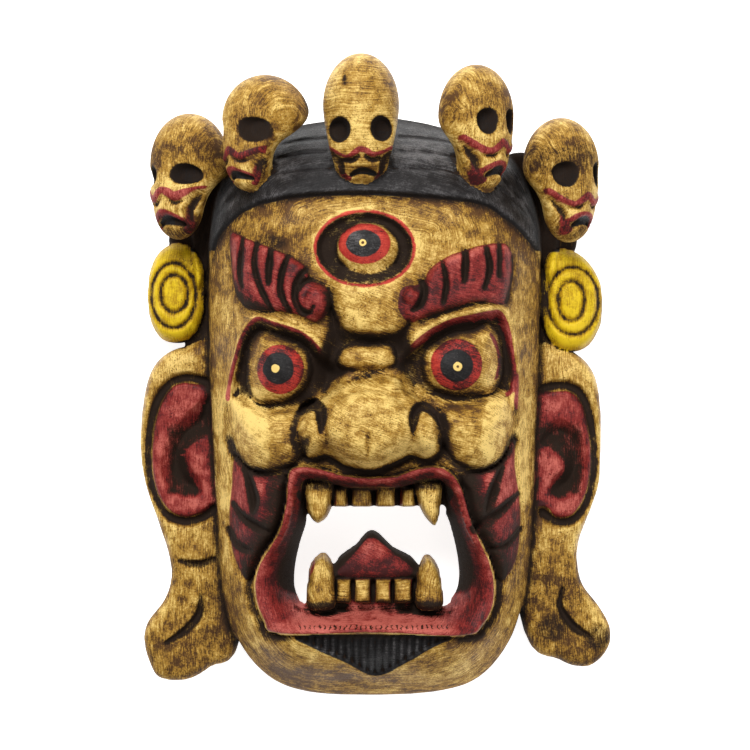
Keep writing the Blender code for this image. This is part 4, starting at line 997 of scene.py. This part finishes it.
def largest_piece(count, quads):
    """Which points hang together with the most others, as a mask over the points."""
    labels = np.arange(count)
    while True:
        lowest = labels[quads].min(axis=1)
        spread = labels.copy()
        np.minimum.at(spread, quads, lowest[:, None])
        spread = spread[spread]
        if (spread == labels).all():
            return labels == np.bincount(labels).argmax()
        labels = spread


def sampled(values, axes, places):
    """Values of a grid at places between its points."""
    step = axes[0][1] - axes[0][0]
    total = 0
    cells, parts = [], []
    for axis, place in zip(axes, places):
        at = np.clip((place - axis[0]) / step, 0, len(axis) - 1.001)
        cells.append(at.astype(int))
        parts.append(at - cells[-1])
    for corner in np.ndindex(*(2,) * len(axes)):
        weight = 1
        for side, part in zip(corner, parts):
            weight = weight * (part if side else 1 - part)
        total = total + weight * values[tuple(cell + side for cell, side in zip(cells, corner))]
    return total


def carved_mesh(name, block, axes, triangles):
    """The surface of a block of signed distances as a mesh in metres, thinned to a number of triangles."""
    step = axes[0][1] - axes[0][0]
    corner = np.array([axis[0] for axis in axes])
    grid = openvdb.FloatGrid(3 * step)
    grid.copyFromArray(np.clip(block, -3 * step, 3 * step).astype(np.float32))
    points, quads = (np.asarray(part) for part in grid.convertToQuads(0.0))
    quads = quads.astype(int)
    kept = largest_piece(len(points), quads)
    number = np.cumsum(kept) - 1
    places = (points[kept] * step + corner - DRAWN_CENTRE) * SCALE
    places[np.abs(places[:, 2]) < 0.3 * step * SCALE, 2] = 0
    mesh = bpy.data.meshes.new(name)
    mesh.from_pydata(places, [], number[quads[kept[quads[:, 0]]]].tolist())
    piece = bpy.data.objects.new(name, mesh)
    bpy.context.scene.collection.objects.link(piece)
    thin = piece.modifiers.new("thin", "DECIMATE")
    thin.ratio = triangles / (2 * len(mesh.polygons))
    made = bpy.data.meshes.new_from_object(piece.evaluated_get(bpy.context.evaluated_depsgraph_get()))
    piece.modifiers.clear()
    piece.data = made
    bpy.data.meshes.remove(mesh)
    made.name = name
    return piece


def mark_paint(mesh, block, axes):
    """Stores on each point how far inside each paint it is, how enclosed for painted shade, and its brush
    lines.
    """
    places = np.empty(len(mesh.vertices) * 3)
    mesh.vertices.foreach_get("co", places)
    x, y, z = (places.reshape(-1, 3) / SCALE + DRAWN_CENTRE).T
    step = axes[0][1] - axes[0][0]
    plan = paint_plan(*np.meshgrid(axes[0], axes[1], indexing="ij"))
    # A mark beyond reach of its outline is brought near, so that what lies between grid points stays smooth
    marks = {key: sampled(np.clip(values, -15, 500), axes[:2], (x, y)) for key, values in plan.items()}
    marks["skull"] = np.zeros(x.shape)
    for skull in SKULLS:
        gap = skull_distance(skull, x, y, z)
        on_skull = gap < SKULL_SKIN
        for key, values in paint_skull(skull, x, y, z).items():
            marks[key] = np.where(on_skull, values, marks[key])
        # Painted shade where a skull runs into the board: the farther from the skull itself, the darker
        marks["wash_and_shade"] = np.where(on_skull, np.maximum(marks["wash_and_shade"], ramp(gap)), marks["wash_and_shade"])
    # How enclosed each point is, at a tight and a wide reach. The wash group darkens enclosed places with it as
    # painted shade, and lightens proud ones as rubbed paint with painted highlight.
    solid = np.clip(0.5 - block / (2 * step), 0, 1)
    for key, reach in (("recess", RECESS_REACH), ("shade", SHADE_REACH)):
        marks[key] = sampled(blurred(solid, round(reach / step)), axes, (x, y, z)) - 0.5
    marks["along"] = y + 0.35 * x
    for key, values in marks.items():
        mesh.attributes.new(key, "FLOAT", "POINT").data.foreach_set("value", np.clip(values, -500, 500))


class Wiring:
    """Short hand for placing and linking the nodes of one tree. Plain values are set on the sockets."""

    def __init__(self, tree):
        self.tree = tree

    def node(self, kind, settings=None, **inputs):
        node = self.tree.nodes.new("ShaderNode" + kind)
        for key, value in (settings or {}).items():
            setattr(node, key, value)
        for key, value in inputs.items():
            self.feed(node.inputs[key.replace("_", " ")], value)
        return node

    def feed(self, socket, value):
        if isinstance(value, bpy.types.NodeSocket):
            self.tree.links.new(value, socket)
        elif value is not None:
            socket.default_value = value

    def math(self, operation, *values, clamp=False):
        node = self.node("Math", {"operation": operation, "use_clamp": clamp})
        for socket, value in zip(node.inputs, values):
            self.feed(socket, value)
        return node.outputs[0]

    def smooth(self, value, low, high, to_low=0.0, to_high=1.0):
        node = self.node("MapRange", {"interpolation_type": "SMOOTHSTEP"}, Value=value)
        for socket, number in zip(node.inputs[1:5], (low, high, to_low, to_high)):
            self.feed(socket, number)
        return node.outputs[0]

    def mix(self, factor, a, b, blend="MIX"):
        node = self.node("Mix", {"data_type": "RGBA", "blend_type": blend})
        for index, value in ((0, factor), (6, a), (7, b)):
            self.feed(node.inputs[index], value)
        return node.outputs[2]

    def noise(self, vector, scale, detail=2.0, roughness=0.5):
        node = self.node("TexNoise", Vector=vector, Scale=scale, Detail=detail, Roughness=roughness)
        return node.outputs[0]

    def centred(self, value):
        return self.math("SUBTRACT", value, 0.5)

    def vector(self, x, y, z):
        return self.node("CombineXYZ", X=x, Y=y, Z=z).outputs[0]

    def mark(self, name):
        return self.node("Attribute", {"attribute_name": name}).outputs["Fac"]

    def split(self, vector):
        return self.node("SeparateXYZ", Vector=vector).outputs

    def place(self):
        """The place on the object, in millimetres."""
        coordinates = self.node("TexCoord").outputs["Object"]
        node = self.node("VectorMath", {"operation": "SCALE"}, Scale=1000.0)
        self.feed(node.inputs[0], coordinates)
        return node.outputs[0]

    def group(self, tree, **inputs):
        node = self.node("Group", {"node_tree": tree})
        for key, value in inputs.items():
            self.feed(node.inputs[key.replace("_", " ")], value)
        return node.outputs


def new_group(name, inputs, outputs):
    """An empty node group with named sockets: its tree, its wiring, its inputs and its output node."""
    tree = bpy.data.node_groups.new(name, "ShaderNodeTree")
    for label, kind, default in inputs:
        socket = tree.interface.new_socket(label, in_out="INPUT", socket_type="NodeSocket" + kind)
        if default is not None:
            socket.default_value = default
    for label, kind in outputs:
        tree.interface.new_socket(label, in_out="OUTPUT", socket_type="NodeSocket" + kind)
    given = tree.nodes.new("NodeGroupInput").outputs
    result = tree.nodes.new("NodeGroupOutput").inputs
    return tree, Wiring(tree), given, result


def brush_strokes_group():
    """The tone of paint that was dragged on with a stiff brush: streaks, stipple and larger patches."""
    tree, w, given, result = new_group(
        "Brush Strokes",
        [("Across", "Float", 0.0), ("Along", "Float", 0.0), ("Width", "Float", 0.5),
         ("Length", "Float", 7.0), ("Patches", "Float", 1.1), ("Turned", "Float", 0.0)],
        [("Tone", "Float"), ("Streak", "Float"), ("Stipple", "Float")])
    place = w.place()
    x, y, _ = w.split(place)
    sway = w.math("MULTIPLY", w.centred(w.noise(place, 0.05, 1)), 5.0)
    across = w.math("DIVIDE", w.math("ADD", given["Across"], sway), given["Width"])
    along = w.math("DIVIDE", given["Along"], given["Length"])
    level = w.math("MULTIPLY_ADD", x, 0.35, w.math("MULTIPLY_ADD", sway, 1.6, y))
    level = w.math("DIVIDE", level, given["Width"])
    upright = w.noise(w.vector(across, along, 0.0), 1.0, 3, 0.7)
    turned = w.noise(w.vector(level, w.math("DIVIDE", x, given["Length"]), 4.0), 1.0, 3, 0.7)
    gap = w.math("SUBTRACT", turned, upright)
    streak = w.centred(w.math("MULTIPLY_ADD", gap, given["Turned"], upright))
    stipple = w.centred(w.noise(place, 0.95, 3, 0.75))
    patches = w.math("ADD", w.centred(w.noise(place, 0.035, 2)), w.centred(w.noise(place, 0.16, 2, 0.6)))
    pits = w.math("MULTIPLY", w.smooth(w.noise(place, 1.25, 2, 0.6), 0.58, 0.68),
                  w.smooth(w.noise(place, 0.07, 2), 0.42, 0.60))
    grit = w.math("MULTIPLY_ADD", pits, -0.55, w.math("MULTIPLY_ADD", streak, 1.5, stipple))
    tone = w.math("MULTIPLY_ADD", patches, given["Patches"], grit)
    w.feed(result["Tone"], tone)
    w.feed(result["Streak"], streak)
    w.feed(result["Stipple"], stipple)
    return tree


def wash_and_shade_group():
    """How dark each place is: wash left in the recesses after wiping, painted shade of enclosed places,
    and how much lighter the proud places are, rubbed and with painted highlight.
    """
    tree, w, given, result = new_group(
        "Wash And Painted Shade",
        [("Recess", "Float", 0.0), ("Shade", "Float", 0.0), ("Soot", "Float", 0.0), ("Tone", "Float", 0.0)],
        [("Wash", "Float"), ("Wear", "Float")])
    ragged = w.math("MULTIPLY", given["Tone"], -0.12)
    # Painted shade: the more enclosed a place is, the darker
    tight = w.smooth(w.math("ADD", given["Recess"], ragged), 0.02, 0.2)
    wide = w.smooth(w.math("ADD", given["Shade"], ragged), 0.03, 0.24)
    wash = w.math("MAXIMUM", w.math("MAXIMUM", tight, wide), given["Soot"], clamp=True)
    w.feed(result["Wash"], wash)
    # Proud places lighter: rubbed paint with painted highlight
    proud = w.math("MULTIPLY", w.math("ADD", given["Recess"], given["Shade"]), -1.0)
    w.feed(result["Wear"], w.smooth(proud, 0.0, 0.3))
    return tree


def painted_edge_group():
    """A hand-painted edge: turns a distance to a colour's border into its mask."""
    tree, w, given, result = new_group(
        "Painted Edge",
        [("Distance", "Float", 0.0), ("Wobble", "Float", 0.7), ("Softness", "Float", 0.25)],
        [("Mask", "Float")])
    place = w.place()
    wobble = w.math("ADD", w.math("MULTIPLY", w.centred(w.noise(place, 0.16, 2)), 2.0),
                    w.centred(w.noise(place, 0.9, 3, 0.6)))
    distance = w.math("ADD", given["Distance"], w.math("MULTIPLY", wobble, given["Wobble"]))
    soft = given["Softness"]
    w.feed(result["Mask"], w.smooth(distance, w.math("MULTIPLY", soft, -1.0), soft))
    return tree


def rubbed_paint_group():
    """Paint rubbed over a darker coat, light where it is rubbed and where highlights are painted, under a wash
    and painted shade that pooled in the recesses.
    """
    tree, w, given, result = new_group(
        "Rubbed Paint",
        [("Light", "Color", (0.6, 0.4, 0.1, 1)), ("Middle", "Color", (0.4, 0.2, 0.05, 1)),
         ("Dark", "Color", (0.06, 0.02, 0.01, 1)), ("Soot", "Color", (0.02, 0.01, 0.005, 1)),
         ("Tone", "Float", 0.0), ("Wear", "Float", 0.0), ("Wash", "Float", 0.0), ("Level", "Float", 0.5),
         ("Contrast", "Float", 1.0)],
        [("Color", "Color")])
    tone = w.math("MULTIPLY_ADD", given["Tone"], given["Contrast"], given["Level"])
    tone = w.math("MULTIPLY_ADD", given["Wear"], 0.22, tone)
    tone = w.math("MULTIPLY_ADD", given["Wash"], -0.62, tone)
    color = w.mix(w.smooth(tone, 0.04, 0.46), given["Dark"], given["Middle"])
    color = w.mix(w.smooth(tone, 0.40, 1.12), color, given["Light"])
    # Where wash and painted shade are strongest the colour goes over to the wash colour
    pooled = w.math("MULTIPLY_ADD", given["Tone"], -0.22, given["Wash"])
    w.feed(result["Color"], w.mix(w.smooth(pooled, 0.72, 0.98), color, given["Soot"]))
    return tree


def round_dab_group():
    """A small round dab of paint, given by its place and radius in millimetres."""
    tree, w, given, result = new_group(
        "Round Dab", [("Place", "Vector", (0, 0, 0)), ("Radius", "Float", 2.0)], [("Mask", "Float")])
    x, y, _ = w.split(w.place())
    cx, cy, _ = w.split(given["Place"])
    flat = w.vector(w.math("SUBTRACT", x, cx), w.math("SUBTRACT", y, cy), 0.0)
    away = w.node("VectorMath", {"operation": "LENGTH"})
    w.feed(away.inputs[0], flat)
    wobble = w.math("MULTIPLY", w.centred(w.noise(w.place(), 0.5, 2)), 0.8)
    gap = w.math("ADD", w.math("SUBTRACT", given["Radius"], away.outputs["Value"]), wobble)
    w.feed(result["Mask"], w.smooth(gap, -0.2, 0.2))
    return tree


def lip_ticks_group():
    """A row of small knife ticks along the lower edge of the lip."""
    tree, w, given, result = new_group(
        "Lip Ticks", [("Height", "Float", 0.0), ("Half Length", "Float", 45.0)], [("Mask", "Float")])
    place = w.place()
    x, y, _ = w.split(place)
    wander = w.math("MULTIPLY", w.centred(w.noise(place, 0.35, 2)), 9.0)
    row = w.smooth(w.math("SINE", w.math("MULTIPLY_ADD", x, 2.3, wander)), 0.2, 0.75)
    off = w.math("ABSOLUTE", w.math("SUBTRACT", y, given["Height"]))
    high = w.smooth(w.math("MULTIPLY_ADD", w.centred(w.noise(place, 0.8, 1)), 1.6, off), 0.8, 1.6, 1.0, 0.0)
    end = given["Half Length"]
    wide = w.smooth(w.math("ABSOLUTE", x), w.math("SUBTRACT", end, 4.0), end, 1.0, 0.0)
    w.feed(result["Mask"], w.math("MULTIPLY", row, w.math("MULTIPLY", high, wide)))
    return tree


def rgba(color):
    return (*color, 1.0)


def on_object(x, y):
    """A place on the drawing as millimetres on the object."""
    return tuple((value - centre) * SCALE * 1000 for value, centre in zip((x, y), DRAWN_CENTRE))


def painted_wood(settings, groups):
    """The painted front: ochre, with yellow, red and black laid over it, under a dark wash with painted shade
    and with painted highlights.
    """
    strokes_group, wash_shade_group, edge_group, paint_group, dab_group, ticks_group = groups
    material = bpy.data.materials.new("painted_wood")
    material.use_nodes = True
    w = Wiring(material.node_tree)
    shader = material.node_tree.nodes["Principled BSDF"]
    brush = w.group(strokes_group, Across=w.mark("across"), Along=w.mark("along"), Width=0.55, Length=8.0,
                    Turned=w.mark("turned"))
    left = w.group(wash_shade_group, Recess=w.mark("recess"), Shade=w.mark("shade"), Soot=w.mark("wash_and_shade"),
                   Tone=brush["Tone"])
    ticks = w.group(ticks_group, Height=on_object(0, -134.8)[1], Half_Length=44.0)["Mask"]
    wash = w.math("MAXIMUM", left["Wash"], w.math("MULTIPLY", ticks, 0.95))
    # Lighter where paint is rubbed and where highlights are painted
    rubbed_and_highlit = w.math("MULTIPLY_ADD", w.mark("rub_and_highlight"), 1.5, left["Wear"])
    shared = dict(Tone=brush["Tone"], Wear=rubbed_and_highlit, Wash=wash, Soot=rgba(settings.wash_and_shade))
    color = w.group(paint_group, Light=rgba(settings.ochre_light), Middle=rgba(settings.ochre),
                    Dark=rgba(settings.umber), Level=0.67, Contrast=1.30, **shared)["Color"]
    relief = brush["Tone"]
    coats = (("yellow", settings.yellow_light, settings.yellow, settings.yellow_dark, 0.84, 1.1, 0.5),
             ("red", settings.red_light, settings.red, settings.red_dark, 0.50, 1.0, 0.6),
             ("vermilion", settings.vermilion_light, settings.vermilion, settings.red_dark, 0.44, 0.9, 0.5),
             ("black", settings.black_light, settings.black, settings.black_dark, 0.36, 1.0, 0.5))
    for name, light, middle, dark, level, contrast, wobble in coats:
        mask = w.group(edge_group, Distance=w.mark(name), Wobble=wobble, Softness=0.35)["Mask"]
        coat = w.group(paint_group, Light=rgba(light), Middle=rgba(middle), Dark=rgba(dark), Level=level,
                       Contrast=contrast, **shared)["Color"]
        color = w.mix(mask, color, coat)
        relief = w.math("MULTIPLY_ADD", mask, 0.35, relief)
    for number, ((cx, cy), (radius, _)) in enumerate(PUPIL_DOTS):
        place = (*on_object(cx, cy), 0.0)
        dab = w.group(dab_group, Place=place, Radius=radius)["Mask"]
        color = w.mix(dab, color, rgba(settings.ochre_light))
        if number:
            core = w.group(dab_group, Place=place, Radius=0.75)["Mask"]
            color = w.mix(core, color, rgba(settings.umber))
    w.feed(shader.inputs["Base Color"], color)
    rough = w.math("MULTIPLY_ADD", brush["Stipple"], -0.5, w.smooth(left["Wash"], 0.2, 1.0, 0.40, 0.85))
    w.feed(shader.inputs["Roughness"], rough)
    bump = w.node("Bump", {}, Strength=0.6, Distance=0.0003, Height=relief)
    w.feed(shader.inputs["Normal"], bump.outputs[0])
    shader.inputs["Specular IOR Level"].default_value = 0.16
    return material


def raw_wood(settings, groups):
    """The back: bare wood with a dark stain, open grain and tool marks, darker in its recesses with painted
    shade.
    """
    strokes_group, wash_shade_group, _, paint_group = groups[:4]
    material = bpy.data.materials.new("raw_wood")
    material.use_nodes = True
    w = Wiring(material.node_tree)
    shader = material.node_tree.nodes["Principled BSDF"]
    brush = w.group(strokes_group, Across=w.mark("across"), Along=w.mark("along"), Width=1.1, Length=45.0)
    left = w.group(wash_shade_group, Recess=w.mark("recess"), Shade=w.mark("shade"), Soot=0.0, Tone=brush["Tone"])
    wash = w.math("MULTIPLY", left["Wash"], 0.6)
    color = w.group(paint_group, Light=rgba(settings.bare_wood), Middle=rgba(settings.stained_wood),
                    Dark=rgba(settings.umber), Soot=rgba(settings.wash_and_shade), Level=0.5, Contrast=1.0,
                    Tone=brush["Tone"], Wear=left["Wear"], Wash=wash)["Color"]
    w.feed(shader.inputs["Base Color"], color)
    shader.inputs["Roughness"].default_value = 0.78
    bump = w.node("Bump", {}, Strength=0.7, Distance=0.0004, Height=brush["Streak"])
    w.feed(shader.inputs["Normal"], bump.outputs[0])
    return material


class MaskSettings(bpy.types.PropertyGroup):
    """How finely the mask is carved, and its paints."""

    step: FloatProperty(name="Carving step", description="Step of the carving grid", default=0.001,
                        unit="LENGTH", min=0.0006, max=0.003)
    triangles: IntProperty(name="Triangles", description="What the carved mesh is thinned to", default=190000)
    # Light colours show where paint is rubbed and where highlights are painted; dark ones show under dirt and
    # painted shade
    ochre_light: FloatVectorProperty(name="Light ochre", description="Ochre on proud, rubbed places",
                                     subtype="COLOR", default=(0.81, 0.57, 0.175))
    ochre: FloatVectorProperty(name="Ochre", description="Ochre coat", subtype="COLOR",
                               default=(0.35, 0.185, 0.026))
    umber: FloatVectorProperty(name="Umber", description="Dark coat that shows through", subtype="COLOR",
                               default=(0.095, 0.042, 0.012))
    # Colour of the dark wash, which also paints the deepest shade
    wash_and_shade: FloatVectorProperty(name="Wash", description="Wash left in the recesses", subtype="COLOR",
                              default=(0.018, 0.010, 0.006))
    red_light: FloatVectorProperty(name="Light red", description="Red on proud, rubbed places",
                                   subtype="COLOR", default=(0.52, 0.125, 0.095))
    red: FloatVectorProperty(name="Red", description="Red coat", subtype="COLOR",
                             default=(0.21, 0.020, 0.017))
    red_dark: FloatVectorProperty(name="Dark red", description="Red where it is dirty", subtype="COLOR",
                                  default=(0.045, 0.009, 0.009))
    vermilion_light: FloatVectorProperty(name="Light vermilion", description="Irises where they are rubbed",
                                         subtype="COLOR", default=(0.66, 0.085, 0.05))
    vermilion: FloatVectorProperty(name="Vermilion", description="Coat of the irises", subtype="COLOR",
                                   default=(0.36, 0.028, 0.02))
    black_light: FloatVectorProperty(name="Dusty black", description="Black on proud, rubbed places",
                                     subtype="COLOR", default=(0.115, 0.108, 0.108))
    black: FloatVectorProperty(name="Black", description="Black coat", subtype="COLOR",
                               default=(0.018, 0.016, 0.016))
    black_dark: FloatVectorProperty(name="Deep black", description="Black in its recesses", subtype="COLOR",
                                    default=(0.008, 0.007, 0.007))
    yellow_light: FloatVectorProperty(name="Light yellow", description="Yellow on proud, rubbed places",
                                      subtype="COLOR", default=(0.72, 0.50, 0.015))
    yellow: FloatVectorProperty(name="Yellow", description="Yellow coat", subtype="COLOR",
                                default=(0.40, 0.225, 0.004))
    yellow_dark: FloatVectorProperty(name="Dark yellow", description="Yellow where it is dirty",
                                     subtype="COLOR", default=(0.10, 0.055, 0.008))
    bare_wood: FloatVectorProperty(name="Bare wood", description="Raised grain of the back", subtype="COLOR",
                                   default=(0.27, 0.15, 0.07))
    stained_wood: FloatVectorProperty(name="Stained wood", description="Stained wood of the back",
                                      subtype="COLOR", default=(0.15, 0.078, 0.034))


class StageSettings(bpy.types.PropertyGroup):
    """Floor, light and camera."""

    floor_color: FloatVectorProperty(name="Floor", description="Colour of the floor", subtype="COLOR",
                                     default=(0.9, 0.9, 0.9))
    floor_glow: FloatProperty(name="Floor glow", description="Strength of the light box under the floor",
                              default=0.85)
    floor_size: FloatProperty(name="Floor size", description="Width of the floor", default=6.0, unit="LENGTH")
    camera_height: FloatProperty(name="Camera height", description="Height of the camera over the floor",
                                 default=1.5, unit="LENGTH")
    lens: FloatProperty(name="Lens", description="Focal length", default=127.4, unit="CAMERA")
    key_power: FloatProperty(name="Key light", description="Power of the large soft light", default=30.0,
                             unit="POWER")
    fill_power: FloatProperty(name="Fill light", description="Power of the fill light", default=9.0,
                              unit="POWER")
    sky: FloatProperty(name="Sky", description="Strength of the light from all round", default=0.28)


class MASK_OT_carve(bpy.types.Operator):
    """Carves the mask finely from its drawing and paints it"""

    bl_idname = "mask.carve"
    bl_label = "Carve and paint the mask"

    def execute(self, context):
        settings = context.scene.carved_mask
        block, axes = carve_block(drawn(settings.step))
        piece = carved_mesh("carved_mask", block, axes, settings.triangles)
        mesh = piece.data
        fit = np.empty(len(mesh.vertices) * 3)
        mesh.vertices.foreach_get("co", fit)
        fit = np.clip(fit.reshape(-1, 3), SOLID_LOW, SOLID_HIGH)
        mesh.vertices.foreach_set("co", fit.ravel())
        mark_paint(mesh, block, axes)
        groups = (brush_strokes_group(), wash_and_shade_group(), painted_edge_group(), rubbed_paint_group(),
                  round_dab_group(), lip_ticks_group())
        mesh.materials.append(painted_wood(settings, groups))
        mesh.materials.append(raw_wood(settings, groups))
        normals = np.empty(len(mesh.polygons) * 3)
        mesh.polygons.foreach_get("normal", normals)
        corners = np.array([face.vertices[0] for face in mesh.polygons])
        skull = np.empty(len(mesh.vertices))
        mesh.attributes["skull"].data.foreach_get("value", skull)
        back = (normals[2::3] < BACK_LEAN) & (skull[corners] < 0.5)
        mesh.polygons.foreach_set("material_index", back.astype(np.int32))
        mesh.polygons.foreach_set("use_smooth", np.ones(len(mesh.polygons), bool))
        mesh.update()
        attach(piece, "root")
        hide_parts("mask")
        return {"FINISHED"}


class MASK_OT_stage(bpy.types.Operator):
    """Adds the pale floor, the soft lights and the camera straight above the mask"""

    bl_idname = "mask.stage"
    bl_label = "Set the stage"

    def execute(self, context):
        settings = context.scene.mask_stage
        scene = context.scene
        half = settings.floor_size / 2
        mesh = bpy.data.meshes.new("floor")
        mesh.from_pydata([(-half, -half, 0), (half, -half, 0), (half, half, 0), (-half, half, 0)], [],
                         [(0, 1, 2, 3)])
        floor = bpy.data.objects.new("floor", mesh)
        scene.collection.objects.link(floor)
        material = bpy.data.materials.new("floor")
        material.use_nodes = True
        shader = material.node_tree.nodes["Principled BSDF"]
        shader.inputs["Base Color"].default_value = (*settings.floor_color, 1)
        shader.inputs["Roughness"].default_value = 0.9
        shader.inputs["Emission Color"].default_value = (1, 1, 1, 1)
        shader.inputs["Emission Strength"].default_value = settings.floor_glow
        mesh.materials.append(material)
        floor.location.z = SOLID_LOW[2] - 0.0003
        for name, place, size, power in (("key", (-0.3, 0.95, 1.4), 0.8, settings.key_power),
                                         ("fill", (0.9, -0.5, 1.3), 1.2, settings.fill_power)):
            light = bpy.data.lights.new(name, "AREA")
            light.size = size
            light.energy = power
            lamp = bpy.data.objects.new(name, light)
            lamp.location = place
            lamp.rotation_euler = (-Vector(place)).to_track_quat("-Z", "Y").to_euler()
            scene.collection.objects.link(lamp)
        world = bpy.data.worlds.new("studio")
        world.use_nodes = True
        world.node_tree.nodes["Background"].inputs["Color"].default_value = (1, 1, 1, 1)
        world.node_tree.nodes["Background"].inputs["Strength"].default_value = settings.sky
        scene.world = world
        camera = bpy.data.cameras.new("camera")
        camera.lens = settings.lens
        camera.sensor_width = 36
        eye = bpy.data.objects.new("camera", camera)
        eye.location = (0, -DRAWN_CENTRE[1] * SCALE, settings.camera_height)
        scene.collection.objects.link(eye)
        scene.camera = eye
        scene.view_settings.view_transform = "Standard"
        return {"FINISHED"}


class MASK_PT_panel(bpy.types.Panel):
    """Lists the steps that make the mask"""

    bl_label = "Carved Guardian Mask"
    bl_idname = "MASK_PT_panel"
    bl_space_type = "VIEW_3D"
    bl_region_type = "UI"
    bl_category = "Mask"

    def draw(self, context):
        for group in (context.scene.carved_mask, context.scene.mask_stage):
            for key in group.__annotations__:
                self.layout.prop(group, key)
        for operator in OPERATORS:
            self.layout.operator(operator.bl_idname)


OPERATORS = (MASK_OT_carve, MASK_OT_stage)
CLASSES = (MaskSettings, StageSettings, *OPERATORS, MASK_PT_panel)


def register():
    for each in CLASSES:
        bpy.utils.register_class(each)
    bpy.types.Scene.carved_mask = PointerProperty(type=MaskSettings)
    bpy.types.Scene.mask_stage = PointerProperty(type=StageSettings)


def unregister():
    del bpy.types.Scene.mask_stage
    del bpy.types.Scene.carved_mask
    for each in reversed(CLASSES):
        bpy.utils.unregister_class(each)


def main():
    register()
    bpy.ops.mask.carve()
    bpy.ops.mask.stage()


if __name__ == "__main__":
    main()
